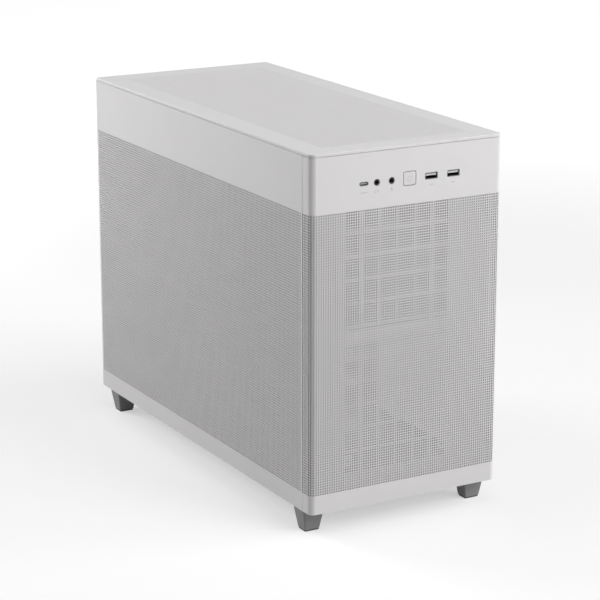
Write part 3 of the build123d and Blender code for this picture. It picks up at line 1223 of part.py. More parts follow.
with BuildPart() as psu_switch_body:
    reach = SWITCH_RADIUS + 1.7
    deep = SWITCH_WIDTH / 2 + 1.7
    slab(
        (SWITCH_X - reach, SWITCH_X + reach),
        (SUPPLY_Y - deep, SUPPLY_Y + deep),
        (SUPPLY_Z, SWITCH_Z + 9.0),
    )
    slab(
        (SWITCH_X - reach - 2.0, SWITCH_X + reach + 2.0),
        (SUPPLY_Y - deep - 2.0, SUPPLY_Y + deep + 2.0),
        (SUPPLY_Z - CLEAR * 3, SUPPLY_Z),
    )
    hollow = (SUPPLY_Y - SWITCH_WIDTH / 2 - RUNNING, SUPPLY_Y + SWITCH_WIDTH / 2 + RUNNING)
    rod("Y", SWITCH_RADIUS + RUNNING, hollow, (SWITCH_X, SWITCH_Z), Mode.SUBTRACT)
    wide = SWITCH_RADIUS + RUNNING
    slab((SWITCH_X - wide, SWITCH_X + wide), hollow, (SUPPLY_Z - 2.0, SWITCH_Z), Mode.SUBTRACT)
psu_switch_body.part.label = "psu_switch_body"
export_step(psu_switch_body.part, "parts/psu_switch_body.step")

with BuildPart() as psu_rocker:
    paddle = (SUPPLY_Y - SWITCH_WIDTH / 2, SUPPLY_Y + SWITCH_WIDTH / 2)
    rod("Y", SWITCH_RADIUS, paddle, (SWITCH_X, SWITCH_Z))
    with Locations(Plane(origin=(SWITCH_X, SUPPLY_Y, SWITCH_Z)).rotated((0, SWITCH_TILT, 0))):
        with Locations((0, 0, -SWITCH_RADIUS - 3.6)):
            Box(4 * SWITCH_RADIUS, 2 * SWITCH_WIDTH, 2 * SWITCH_RADIUS, mode=Mode.SUBTRACT)
psu_rocker.part.label = "psu_rocker"
export_step(psu_rocker.part, "parts/psu_rocker.step")


# ================================================================ leads
LEAD_SHARE = 0.45  # of the shorter run, taken by each arc


def bend_radii(points):
    """Largest arcs that the runs of a lead allow."""
    radii = []
    for before, here, after in zip(points, points[1:], points[2:]):
        first = Vector(*here) - Vector(*before)
        second = Vector(*after) - Vector(*here)
        turn = radians(first.get_angle(second))
        radii.append(LEAD_SHARE * min(first.length, second.length) / tan(turn / 2))
    return radii


def lead(points, radius):
    """Round lead along straight runs joined by arcs."""
    with BuildPart() as cable:
        with BuildLine() as route:
            FilletPolyline(*points, radius=bend_radii(points))
        start = Vector(*points[1]) - Vector(*points[0])
        with BuildSketch(Plane(origin=points[0], z_dir=start)):
            Circle(radius)
        sweep(path=route.line)
    return cable


MAINS_LEAD = 3.5
PLUG_DEPTH = 30.0
PLUG_BEVEL = 4.0
PLUG_Z = SUPPLY_Z - CLEAR * 3
mains_start = PLUG_Z - PLUG_DEPTH

with BuildPart() as mains_plug:
    slab(
        (SUPPLY_INLET_X - INLET_WIDTH / 2, SUPPLY_INLET_X + INLET_WIDTH / 2),
        (SUPPLY_Y - INLET_HEIGHT / 2, SUPPLY_Y + INLET_HEIGHT / 2),
        (mains_start, PLUG_Z),
    )
    chamfer(mains_plug.faces().sort_by(Axis.Z)[0].edges(), PLUG_BEVEL)
    with BuildSketch(supply_inlet_plane) as nose:
        Rectangle(INLET_WIDTH - 2 * INLET_WALL - 2 * CLEAR, INLET_HEIGHT - 2 * INLET_WALL - 2 * CLEAR)
        with Locations(INLET_PINS):
            Rectangle(INLET_PIN[0] + 2 * CLEAR, INLET_PIN[1] + 2 * CLEAR, mode=Mode.SUBTRACT)
    extrude(amount=-(INLET_DEPTH - 4.0))
    with BuildSketch(supply_inlet_plane):
        Rectangle(INLET_WIDTH - 2 * INLET_WALL - 2 * CLEAR, INLET_HEIGHT - 2 * INLET_WALL - 2 * CLEAR)
    extrude(amount=CLEAR * 3)
mains_plug.part.label = "mains_plug"
export_step(mains_plug.part, "parts/mains_plug.step")

mains_points = [
    (SUPPLY_INLET_X, SUPPLY_Y, mains_start),
    (SUPPLY_INLET_X, SUPPLY_Y, mains_start - 46.0),
    (SUPPLY_INLET_X - 2.0, SUPPLY_Y + 14.0, FLOOR_Z + 32.0),
    (SUPPLY_INLET_X - 6.0, SUPPLY_Y + 60.0, FLOOR_Z + 8.0),
    (MAINS_X - 6.0, SUPPLY_Y + 130.0, FLOOR_Z + 6.5),
    (MAINS_X - 8.0, SUPPLY_Y + 200.0, FLOOR_Z + 6.0),
    (MAINS_X - 4.0, SUPPLY_Y + 266.0, FLOOR_Z + 9.0),
    (MAINS_X, SUPPLY_Y + 322.0, MAINS_Z),
    (MAINS_X, FRAME_REAR - INLET_DEPTH, MAINS_Z),
]
mains_lead = lead(mains_points, MAINS_LEAD)
mains_lead.part.label = "mains_lead"
export_step(mains_lead.part, "parts/mains_lead.step")

POWER_SOCKET_Y = BOARD_REAR - BOARD_SIZE + 8.0
POWER_SOCKET_Z = BOARD_TOP - 98.0
POWER_SOCKET_X = BOARD_X - 26.0
board_points = [
    (LEAD_EXIT[0], LEAD_EXIT[1], SUPPLY_TOP - SUPPLY_WALL),
    (LEAD_EXIT[0], LEAD_EXIT[1] + 2.0, SUPPLY_TOP + 22.0),
    (LEAD_EXIT[0] - 4.0, LEAD_EXIT[1] + 34.0, SUPPLY_TOP + 33.0),
    (LEAD_EXIT[0] - 8.0, LEAD_EXIT[1] + 68.0, SUPPLY_TOP + 4.0),
    (LEAD_EXIT[0] - 14.0, LEAD_EXIT[1] + 92.0, SUPPLY_TOP - 44.0),
    (POWER_SOCKET_X - 22.0, POWER_SOCKET_Y - 26.0, POWER_SOCKET_Z + 20.0),
    (POWER_SOCKET_X - 18.0, POWER_SOCKET_Y - 6.0, POWER_SOCKET_Z + 3.0),
    (POWER_SOCKET_X - 8.0, POWER_SOCKET_Y, POWER_SOCKET_Z),
    (POWER_SOCKET_X, POWER_SOCKET_Y, POWER_SOCKET_Z),
]
board_lead = lead(board_points, LEAD_RADIUS)
board_lead.part.label = "board_lead"
export_step(board_lead.part, "parts/board_lead.step")

with BuildPart() as board_power_plug:
    slab(
        (POWER_SOCKET_X, BOARD_X),
        (POWER_SOCKET_Y - 5.0, POWER_SOCKET_Y + 5.0),
        (POWER_SOCKET_Z - 26.0, POWER_SOCKET_Z + 26.0),
    )
board_power_plug.part.label = "board_power_plug"
export_step(board_power_plug.part, "parts/board_power_plug.step")

# ================================================================ drive
DRIVE_X = TRAY_X + SHEET
with BuildPart() as storage_drive:
    slab(
        (DRIVE_X, DRIVE_X + DRIVE_SIZE[2]),
        (DRIVE_PLACE[0] - DRIVE_SIZE[1] / 2, DRIVE_PLACE[0] + DRIVE_SIZE[1] / 2),
        (DRIVE_PLACE[1] - DRIVE_SIZE[0] / 2, DRIVE_PLACE[1] + DRIVE_SIZE[0] / 2),
    )
    fillet(storage_drive.edges().filter_by(Axis.X), 2.0)
storage_drive.part.label = "storage_drive"
export_step(storage_drive.part, "parts/storage_drive.step")

# ================================================================ screws
with BuildPart() as case_screws:
    screws("X", BOARD_HOLES, BOARD_X, TRAY_X - 1.0, -1)
    cover_screws = [(INNER_REAR - LIP / 2, centre) for centre in SLOT_CENTRES]
    screws("X", cover_screws, SHELF_X - COVER_SHEET, SHELF_X + 4.0, -1)
    screws("Y", REAR_FAN_PLACES, FRAME_REAR, INNER_REAR - 10.0, 1)
    screws("Z", SUPPLY_SCREWS, SUPPLY_Z - SHEET, SUPPLY_Z + 4.0, -1)
    bracket_screws = [(side * BRACKET_HOLES_X, BRACKET_HOLE_Z) for side in (-1, 1)]
    bracket_screws += [(side * BRACKET_HOLES_X / 2, IO_WINDOW_Z[0] - 6.0) for side in (-1, 1)]
    screws("Y", bracket_screws, FRAME_FRONT, INNER_FRONT + 4.0, -1)
case_screws.part.label = "case_screws"
export_step(case_screws.part, "parts/case_screws.step")
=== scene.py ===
import json
import math

import bmesh
import bpy
from mathutils import Matrix, Vector


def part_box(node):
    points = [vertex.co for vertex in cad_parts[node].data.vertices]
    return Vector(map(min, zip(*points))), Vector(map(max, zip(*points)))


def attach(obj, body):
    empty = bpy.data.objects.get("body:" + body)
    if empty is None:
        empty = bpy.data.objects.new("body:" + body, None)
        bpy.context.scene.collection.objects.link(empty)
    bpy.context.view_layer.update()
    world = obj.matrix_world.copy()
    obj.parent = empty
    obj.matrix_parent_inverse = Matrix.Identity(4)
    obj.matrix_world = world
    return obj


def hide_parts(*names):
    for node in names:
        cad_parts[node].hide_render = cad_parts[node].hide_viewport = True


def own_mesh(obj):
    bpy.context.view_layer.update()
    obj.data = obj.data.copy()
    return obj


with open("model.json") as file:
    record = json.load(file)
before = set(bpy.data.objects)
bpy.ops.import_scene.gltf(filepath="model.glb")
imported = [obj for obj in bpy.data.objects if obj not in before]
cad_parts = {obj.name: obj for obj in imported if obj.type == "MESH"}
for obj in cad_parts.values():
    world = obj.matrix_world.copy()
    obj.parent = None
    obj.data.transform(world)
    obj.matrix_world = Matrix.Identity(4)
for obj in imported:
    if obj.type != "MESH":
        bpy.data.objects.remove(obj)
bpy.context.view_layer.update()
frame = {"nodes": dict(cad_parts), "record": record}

# Desktop computer tower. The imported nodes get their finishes, and the four sheet covers are
# made again with their perforation. Metres, front towards -Y, feet on Z = 0.

NODES = frame["nodes"]
MM = 0.001

# perforated sheet: square grid of holes between plain bands
PITCH = 2.45 * MM
BAR = 1.12 * MM  # metal left between two holes
FIELD_FOOT = 40.5 * MM  # the holes of the upright sheets lie between these two heights
FIELD_HEAD = 309.0 * MM
SIDE_RIM = (1.6 * MM, 2.6 * MM)  # plain edge at the front and rear of a side panel
TOP_RIM = (23.0 * MM, 28.0 * MM)  # plain edge at the front and rear of the top cover
TOP_SIDE_RIM = 23.0 * MM
TOP_BAR = 1.5 * MM  # wider on the top cover, whose mesh is closer and reads lighter
RIM_DROP = 0.4 * MM  # the lid's rim hangs this much lower than the solid's, for a finer shadow gap
SINK = 0.06 * MM  # bars lie this far inside the sheet, and crossing bars twice as far
CORNER_RADIUS = 6.0 * MM
CORNER_STEPS = 8
FRONT_MESH = 0.95 * MM  # depth of the front holes, shallow so that the grilles behind show through
SKIN = 1.0 * MM
SOFT_ANGLE = math.radians(32)  # shallower edges are shaded round
MERGE = 0.002 * MM  # vertices this near to each other are one
COATED, PUNCHED = 0, 1  # material numbers on a perforated sheet: its faces, and the walls of its holes

# printed marks of the front row
INK = 0.03 * MM
SET_BACK = 0.04 * MM  # room for the ink in front of a printed face
STROKE = 0.32 * MM
MARK_DROP = 8.1 * MM  # socket centre line to the marks
EARPHONE_DROP = 0.3 * MM  # this mark lies lower than the others
MICROPHONE_RISE = 0.5 * MM  # and this one higher
ARC_STEP = 15  # degrees
# arcs: radius, start and sweep in degrees
POWER_ARC = (2.3 * MM, 115, 310)
EARPHONE_ARC = (1.6 * MM, 0, 180)
MICROPHONE_ARC = (1.2 * MM, 190, 160)
# bars: place across and up from the middle of the mark, width and height
POWER_BARS = [(0.0, 1.9 * MM, STROKE, 1.8 * MM)]
EARPHONE_BARS = [(side * 1.5 * MM, -0.7 * MM, 0.7 * MM, 1.3 * MM) for side in (-1, 1)]
MICROPHONE_BARS = [
    (0.0, 0.5 * MM, 1.1 * MM, 1.9 * MM),
    (0.0, -1.7 * MM, STROKE, 1.0 * MM),
    (0.0, -2.2 * MM, 1.6 * MM, STROKE),
]
WIDE_SOCKET_BARS = [(side * 1.1 * MM, 0.0, 1.5 * MM, 0.8 * MM) for side in (-1, 1)]
SMALL_SOCKET_BARS = [((i - 1.5) * 1.9 * MM, 0.0, 1.4 * MM, 0.7 * MM) for i in range(4)]
# sockets of the front row
SMALL_SOCKET_HALF = 4.5 * MM
WIDE_SOCKET_HALF = 6.6 * MM
WIDE_SOCKET_APART = 24.0 * MM
JACK_HALF = 3.4 * MM


# ---------------------------------------------------------------- meshes
def merged_copy(name):
    """Closed copy of a CAD node's mesh."""
    shell = bmesh.new()
    shell.from_mesh(NODES[name].data)
    bmesh.ops.remove_doubles(shell, verts=shell.verts, dist=MERGE)
    for face in shell.faces:
        face.material_index = COATED
    return shell


def into_object(shell, name):
    """Turns a bmesh into an object of the scene."""
    mesh = bpy.data.meshes.new(name)
    shell.to_mesh(mesh)
    shell.free()
    made = bpy.data.objects.new(name, mesh)
    bpy.context.scene.collection.objects.link(made)
    return made


def join(shell, other):
    """Adds a second bmesh to the first."""
    carrier = bpy.data.meshes.new("carrier")
    other.to_mesh(carrier)
    other.free()
    shell.from_mesh(carrier)
    bpy.data.meshes.remove(carrier)


def finished(shell, name, body, materials, replaces=()):
    """Turns a bmesh into a piece that rides on a body, with soft shading between shallow faces.

    Where one material is given, it covers the punched faces too.
    """
    for edge in shell.edges:
        edge.smooth = len(edge.link_faces) == 2 and edge.calc_face_angle(math.pi) < SOFT_ANGLE
    for face in shell.faces:
        face.smooth = True
        face.material_index = min(face.material_index, len(materials) - 1)
    piece = into_object(shell, name)
    for material in materials:
        piece.data.materials.append(material)
    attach(piece, body)
    if replaces:
        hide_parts(*replaces)
    return piece


def everything(shell):
    """All vertices, edges and faces."""
    return shell.verts[:] + shell.edges[:] + shell.faces[:]


def only(kind, geometry):
    """The vertices, edges or faces of a mixed list."""
    return [item for item in geometry if isinstance(item, kind)]


def cut_window(shell, low, high):
    """Cuts a window through one sheet, between two corners past its faces, and closes the cut edges."""
    for axis in range(3):
        normal = Vector([float(i == axis) for i in range(3)])
        for corner in (low, high):
            bmesh.ops.bisect_plane(
                shell, geom=everything(shell), plane_co=normal * corner[axis], plane_no=normal
            )
    inside = [
        face
        for face in shell.faces
        if all(a < middle < b for a, middle, b in zip(low, face.calc_center_median(), high))
    ]
    bmesh.ops.delete(shell, geom=inside, context="FACES")
    bmesh.ops.bridge_loops(shell, edges=[edge for edge in shell.edges if edge.is_boundary])


def mark_punched(faces, outwards):
    """Gives the faces that stand square to a sheet the material number of its hole walls, which carry
    painted shade where the sheet has a second material.
    """
    for face in faces:
        face.normal_update()
        if abs(face.normal.dot(outwards)) < 0.5:
            face.material_index = PUNCHED


def add_bar(shell, place, centre, size):
    """Square-edged bar in the frame that place gives."""
    scale = Matrix.Diagonal((*size, 1.0))
    made = bmesh.ops.create_cube(shell, size=1.0, matrix=place @ Matrix.Translation(centre) @ scale)
    faces = {face for vert in made["verts"] for face in vert.link_faces}
    mark_punched(faces, place.to_3x3() @ Vector((0.0, 0.0, 1.0)))


def add_flat_mesh(shell, place, width, height, thickness, bar=BAR):
    """Crossing bars of a flat perforated field; place has its origin on the outer face, Z outwards."""
    for length, across, sink, turn in (
        (height, width, SINK, 0.0),
        (width, height, 2 * SINK, math.pi / 2),
    ):
        turned = place @ Matrix.Rotation(turn, 4, "Z")
        count = round(across / PITCH)
        for i in range(count + 1):
            centre = ((i / count - 0.5) * across, 0.0, -thickness / 2)
            add_bar(shell, turned, centre, (bar, length + bar / 2, thickness - 2 * sink))


def set_back(shell, face_y):
    """Moves the foremost face of a piece back, so that ink lies in front of it."""
    foremost = [vert for vert in shell.verts if vert.co.y < face_y + SET_BACK]
    bmesh.ops.translate(shell, vec=(0.0, SET_BACK, 0.0), verts=foremost)


def add_marks(shell, centre, bars):
    """Printed bars round the middle of a mark."""
    for across, up, width, height in bars:
        place = Matrix.Translation(centre + Vector((across, 0.0, up)))
        add_bar(shell, place, (0.0, -INK / 2, 0.0), (width, INK, height))


def add_arc(shell, centre, radius, start, sweep):
    """Flat stroke round part of a circle, seen from the front; angles in degrees from +X."""
    way = Vector((math.cos(math.radians(start)), 0.0, math.sin(math.radians(start))))
    ends = [shell.verts.new(centre + way * (radius + side * STROKE / 2)) for side in (-1, 1)]
    edge = shell.edges.new(ends)
    bmesh.ops.spin(
        shell,
        geom=[*ends, edge],
        cent=centre,
        axis=(0.0, -1.0, 0.0),
        angle=math.radians(sweep),
        steps=max(4, round(sweep / ARC_STEP)),
    )


def thicken(shell):
    """Gives flat strokes the thickness of ink."""
    bmesh.ops.remove_doubles(shell, verts=shell.verts, dist=MERGE)
    raised = bmesh.ops.extrude_face_region(shell, geom=shell.faces[:])
    bmesh.ops.translate(shell, vec=(0.0, -INK, 0.0), verts=only(bmesh.types.BMVert, raised["geom"]))
    bmesh.ops.recalc_face_normals(shell, faces=shell.faces)


def whole_pitches(low, high):
    """Centre and length of the whole number of holes that fit between two limits."""
    return (low + high) / 2, math.floor((high - low) / PITCH) * PITCH


# ---------------------------------------------------------------- covers
def make_side_panel(name, side, sheet_materials):
    """Folded side sheet whose middle is perforated from front to rear."""
    node, body = name + "_side_panel", name + "_panel"
    low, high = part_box(node)
    outer = high.x if side > 0 else low.x
    centre_y, width = whole_pitches(low.y + SIDE_RIM[0], high.y - SIDE_RIM[1])
    centre_z, height = whole_pitches(FIELD_FOOT, FIELD_HEAD)
    shell = merged_copy(node)
    reach = sorted((outer + side * MM, outer - side * 1.2 * SKIN))
    cut_window(
        shell,
        (reach[0], centre_y - width / 2, centre_z - height / 2),
        (reach[1], centre_y + width / 2, centre_z + height / 2),
    )
    upright = Matrix.Rotation(side * math.pi / 2, 4, "Z") @ Matrix.Rotation(math.pi / 2, 4, "X")
    upright = Matrix.Translation((outer, centre_y, centre_z)) @ upright
    add_flat_mesh(shell, upright, width, height, SKIN)
    finished(shell, name + "_mesh_panel", body, sheet_materials, [node])


def make_top_cover(sheet_materials):
    """Shallow lid with a plain rim round its perforated field."""
    low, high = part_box("top_cover")
    centre_x, width = whole_pitches(low.x + TOP_SIDE_RIM, high.x - TOP_SIDE_RIM)
    centre_y, depth = whole_pitches(low.y + TOP_RIM[0], high.y - TOP_RIM[1])
    shell = merged_copy("top_cover")
    cut_window(
        shell,
        (centre_x - width / 2, centre_y - depth / 2, high.z - 1.2 * SKIN),
        (centre_x + width / 2, centre_y + depth / 2, high.z + MM),
    )
    field = Matrix.Translation((centre_x, centre_y, high.z))
    add_flat_mesh(shell, field, width, depth, SKIN, TOP_BAR)
    foot = [vert for vert in shell.verts if vert.co.z < low.z + SINK]
    bmesh.ops.translate(shell, vec=(0.0, 0.0, -RIM_DROP), verts=foot)
    finished(shell, "top_mesh_cover", "top_lid", sheet_materials, ["top_cover"])


def keep_between(shell, foot, head):
    """Keeps what lies between two heights and closes the cuts."""
    for height, outer in ((foot, False), (head, True)):
        cut = bmesh.ops.bisect_plane(
            shell,
            geom=everything(shell),
            plane_co=(0.0, 0.0, height),
            plane_no=(0.0, 0.0, 1.0),
            clear_outer=outer,
            clear_inner=not outer,
        )
        edges = only(bmesh.types.BMEdge, cut["geom_cut"])
        if edges:
            bmesh.ops.edgeloop_fill(shell, edges=edges)


def add_front_strip(shell, low, high, foot, head, depth):
    """Level strip of the front sheet, from seam to seam round both corners."""
    turn_y = low.y + CORNER_RADIUS
    start = [shell.verts.new((low.x + depth, high.y - SINK, z)) for z in (foot, head)]
    edge = shell.edges.new(start)
    strip = [edge]

    def onward(shift):
        made = bmesh.ops.extrude_edge_only(shell, edges=[strip[-1]])["geom"]
        bmesh.ops.translate(shell, vec=shift, verts=only(bmesh.types.BMVert, made))
        strip.append(only(bmesh.types.BMEdge, made)[0])

    def round_corner(x):
        made = bmesh.ops.spin(
            shell,
            geom=[strip[-1]],
            cent=(x, turn_y, 0.0),
            axis=(0.0, 0.0, 1.0),
            angle=math.pi / 2,
            steps=CORNER_STEPS,
        )
        strip.append(only(bmesh.types.BMEdge, made["geom_last"])[0])

    onward((0.0, turn_y - high.y + SINK, 0.0))
    round_corner(low.x + CORNER_RADIUS)
    onward((high.x - low.x - 2 * CORNER_RADIUS, 0.0, 0.0))
    round_corner(high.x - CORNER_RADIUS)
    onward((0.0, high.y - SINK - turn_y, 0.0))


def front_path(distance, low, high):
    """Place on the outer face of the front sheet, this far along it from the middle; Z outwards."""
    side = math.copysign(1.0, distance)
    flat = (high.x - low.x) / 2 - CORNER_RADIUS
    arc = CORNER_RADIUS * math.pi / 2
    along = abs(distance)
    turn = min(max(along - flat, 0.0) / CORNER_RADIUS, math.pi / 2)
    x = min(along, flat) + CORNER_RADIUS * math.sin(turn)
    y = low.y + CORNER_RADIUS * (1 - math.cos(turn)) + max(along - flat - arc, 0.0)
    turned = Matrix.Rotation(side * turn, 4, "Z") @ Matrix.Rotation(math.pi / 2, 4, "X")
    return Matrix.Translation((side * x, y, 0.0)) @ turned


def make_front_panel(sheet_materials):
    """Front sheet bent round both corners, perforated from seam to seam between its bands."""
    low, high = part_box("front_panel")
    centre_z, height = whole_pitches(FIELD_FOOT, FIELD_HEAD)
    foot, head = centre_z - height / 2, centre_z + height / 2
    shell = merged_copy("front_panel")
    keep_between(shell, head, high.z + MM)
    lower = merged_copy("front_panel")
    keep_between(lower, low.z - MM, foot)
    join(shell, lower)
    set_back(shell, low.y)

    flat = (high.x - low.x) / 2 - CORNER_RADIUS
    corner = CORNER_RADIUS * math.pi / 2
    to_seam = high.y - low.y - CORNER_RADIUS
    half = math.floor((flat + corner + to_seam - BAR / 2) / PITCH)
    for i in range(-half, half + 1):
        add_bar(
            shell,
            front_path(i * PITCH, low, high),
            (0.0, centre_z, -FRONT_MESH / 2),
            (BAR, height + 2 * BAR, FRONT_MESH - 2 * SINK),
        )
    strips = bmesh.new()
    add_front_strip(strips, low, high, foot - BAR / 2, foot + BAR / 2, 2 * SINK)
    bmesh.ops.remove_doubles(strips, verts=strips.verts, dist=MERGE)
    bmesh.ops.recalc_face_normals(strips, faces=strips.faces)
    bmesh.ops.solidify(strips, geom=strips.faces[:], thickness=FRONT_MESH - 4 * SINK)
    bmesh.ops.recalc_face_normals(strips, faces=strips.faces)
    for face in strips.faces:
        face.material_index = PUNCHED if abs(face.normal.z) > 0.5 else COATED
    rows = round(height / PITCH)
    first = everything(strips)
    for i in range(1, rows + 1):
        made = bmesh.ops.duplicate(strips, geom=first)["geom"]
        bmesh.ops.translate(strips, vec=(0.0, 0.0, i * PITCH), verts=only(bmesh.types.BMVert, made))
    join(shell, strips)
    finished(shell, "front_mesh_panel", "front_cover", sheet_materials, ["front_panel"])


# ---------------------------------------------------------------- front row
def make_button(material, ink):
    """Power button cap with a printed ring that is open at the top."""
    low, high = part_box("power_button")
    cap = merged_copy("power_button")
    set_back(cap, low.y)
    finished(cap, "power_button_cap", "button", [material], ["power_button"])
    ring = bmesh.new()
    centre = Vector(((low.x + high.x) / 2, low.y + SET_BACK, (low.z + high.z) / 2))
    add_arc(ring, centre, *POWER_ARC)
    thicken(ring)
    add_marks(ring, centre, POWER_BARS)
    finished(ring, "power_mark", "button", [ink])


def make_button_spring(material):
    """Coil spring behind the power button, on a mesh of its own; the real spring shortens by the
    button's travel.
    """
    spring = finished(
        merged_copy("power_button_spring"),
        "button_return_spring",
        "chassis",
        [material],
        ["power_button_spring"],
    )
    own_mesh(spring)


def make_socket_marks(ink):
    """Printed marks under the sockets: earphones, microphone, and plain dashes for data."""
    data_low, data_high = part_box("usb_ports")
    jack_low, jack_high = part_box("audio_jacks")
    button_low, button_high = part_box("power_button")  # its middle is the sockets' centre line
    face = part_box("front_panel")[0].y + SET_BACK
    row = Vector((0.0, face, (button_low.z + button_high.z) / 2 - MARK_DROP))
    earphones = row + Vector((jack_low.x + JACK_HALF, 0.0, -EARPHONE_DROP))
    microphone = row + Vector((jack_high.x - JACK_HALF, 0.0, MICROPHONE_RISE))
    right_wide = row + Vector((data_high.x - WIDE_SOCKET_HALF, 0.0, 0.0))
    left_wide = right_wide - Vector((WIDE_SOCKET_APART, 0.0, 0.0))
    small = row + Vector((data_low.x + SMALL_SOCKET_HALF, 0.0, 0.0))
    marks = bmesh.new()
    add_arc(marks, earphones, *EARPHONE_ARC)
    add_arc(marks, microphone, *MICROPHONE_ARC)
    thicken(marks)
    add_marks(marks, earphones, EARPHONE_BARS)
    add_marks(marks, microphone, MICROPHONE_BARS)
    add_marks(marks, left_wide, WIDE_SOCKET_BARS)
    add_marks(marks, right_wide, WIDE_SOCKET_BARS)
    add_marks(marks, small, SMALL_SOCKET_BARS)
    finished(marks, "socket_marks", "front_cover", [ink])


# ---------------------------------------------------------------- finishes
def tone(code):
    """Linear RGBA of an sRGB hex value."""
    channels = [int(code[i : i + 2], 16) / 255 for i in (1, 3, 5)]
    linear = [c / 12.92 if c <= 0.04045 else ((c + 0.055) / 1.055) ** 2.4 for c in channels]
    return (*linear, 1.0)


def add_node(material, kind, inputs=None, **settings):
    """Adds one shader node, with its settings, values and links."""
    made = material.node_tree.nodes.new("ShaderNode" + kind)
    for key, value in settings.items():
        setattr(made, key, value)
    for key, value in (inputs or {}).items():
        if isinstance(value, bpy.types.NodeSocket):
            material.node_tree.links.new(value, made.inputs[key])
        else:
            made.inputs[key].default_value = value
    return made


def blank(name):
    """Empty node material and its Object coordinates."""
    material = bpy.data.materials.new(name)
    material.use_nodes = True
    material.node_tree.nodes.clear()
    return material, add_node(material, "TexCoord").outputs["Object"]


def surface(material, **inputs):
    """Closes a material with one Principled shader; underscores in socket names stand for spaces."""
    named = {key.replace("_", " "): value for key, value in inputs.items()}
    shader = add_node(material, "BsdfPrincipled", named)
    add_node(material, "OutputMaterial", {"Surface": shader.outputs["BSDF"]})
    return material


def powder_coat(name, light, dark, roughness):
    """Powder-coated sheet steel: satin, slightly uneven in tone, with a fine orange peel."""
    material, place = blank(name)
    # the coat's tone wanders over some 40 mm
    drift = add_node(material, "TexNoise", {"Vector": place, "Scale": 1 / (40 * MM), "Detail": 2.0})
    colour = add_node(
        material,
        "Mix",
        {"Factor": drift.outputs["Fac"], "A": tone(light), "B": tone(dark)},
        data_type="RGBA",
    )
    # orange peel, drawn 1.8 mm wide because its real 0.8 mm is too fine to show
    peel = add_node(material, "TexNoise", {"Vector": place, "Scale": 1 / (1.8 * MM), "Detail": 1.0})
    bump = add_node(
        material,
        "Bump",
        {"Height": peel.outputs["Fac"], "Strength": 0.25, "Distance": 0.03 * MM},
    )
    gloss = add_node(
        material,
        "MapRange",
        {"Value": peel.outputs["Fac"], "To Min": roughness - 0.04, "To Max": roughness + 0.04},
    )
    return surface(
        material,
        Base_Color=colour.outputs["Result"],
        Roughness=gloss.outputs["Result"],
        Normal=bump.outputs["Normal"],
        IOR=1.5,
    )


def moulded(name, light, dark, roughness, grain=0.9, depth=0.03):
    """Injection-moulded plastic: even colour with the fine spark-eroded grain of its mould."""
    material, place = blank(name)
    # the pigment's tone wanders over some 18 mm
    drift = add_node(material, "TexNoise", {"Vector": place, "Scale": 1 / (18 * MM), "Detail": 1.0})
    colour = add_node(
        material,
        "Mix",
        {"Factor": drift.outputs["Fac"], "A": tone(light), "B": tone(dark)},
        data_type="RGBA",
    )
    # the mould's grain, drawn far coarser than its real 0.1 mm, which is too fine to show
    pits = add_node(material, "TexNoise", {"Vector": place, "Scale": 1 / (grain * MM), "Detail": 3.0})
    bump = add_node(
        material,
        "Bump",
        {"Height": pits.outputs["Fac"], "Strength": 0.35, "Distance": depth * MM},
    )
    gloss = add_node(
        material,
        "MapRange",
        {"Value": pits.outputs["Fac"], "To Min": roughness - 0.06, "To Max": roughness + 0.06},
    )
    return surface(
        material,
        Base_Color=colour.outputs["Result"],
        Roughness=gloss.outputs["Result"],
        Normal=bump.outputs["Normal"],
        IOR=1.52,
    )


def plated(name, light, dark, roughness, crystal=3.0):
    """Zinc or nickel plate on steel: metallic, with the patches of its crystals."""
    material, place = blank(name)
    # crystal patches, some 3 mm across on zinc plate and smaller on the other metals
    flakes = add_node(material, "TexVoronoi", {"Vector": place, "Scale": 1 / (crystal * MM)})
    grey = add_node(material, "RGBToBW", {"Color": flakes.outputs["Color"]})
    colour = add_node(
        material,
        "Mix",
        {"Factor": grey.outputs["Val"], "A": tone(light), "B": tone(dark)},
        data_type="RGBA",
    )
    gloss = add_node(
        material,
        "MapRange",
        {"Value": grey.outputs["Val"], "To Min": roughness - 0.07, "To Max": roughness + 0.07},
    )
    return surface(
        material,
        Base_Color=colour.outputs["Result"],
        Roughness=gloss.outputs["Result"],
        Metallic=1.0,
    )


def brushed(name, light, dark, roughness, stretch):
    """Rolled or brushed aluminium: metallic, with fine lines along the rolling direction."""
    material, place = blank(name)
    # stretch is the number of grains in a millimetre along each axis
    lines = add_node(material, "Mapping", {"Vector": place, "Scale": [s / MM for s in stretch]})
    grain = add_node(
        material,
        "TexNoise",
        {"Vector": lines.outputs["Vector"], "Scale": 1.0, "Detail": 3.0},
    )
    colour = add_node(
        material,
        "Mix",
        {"Factor": grain.outputs["Fac"], "A": tone(light), "B": tone(dark)},
        data_type="RGBA",
    )
    bump = add_node(
        material,
        "Bump",
        {"Height": grain.outputs["Fac"], "Strength": 0.3, "Distance": 0.02 * MM},
    )
    gloss = add_node(
        material,
        "MapRange",
        {"Value": grain.outputs["Fac"], "To Min": roughness - 0.08, "To Max": roughness + 0.08},
    )
    return surface(
        material,
        Base_Color=colour.outputs["Result"],
        Roughness=gloss.outputs["Result"],
        Normal=bump.outputs["Normal"],
        Metallic=1.0,
    )


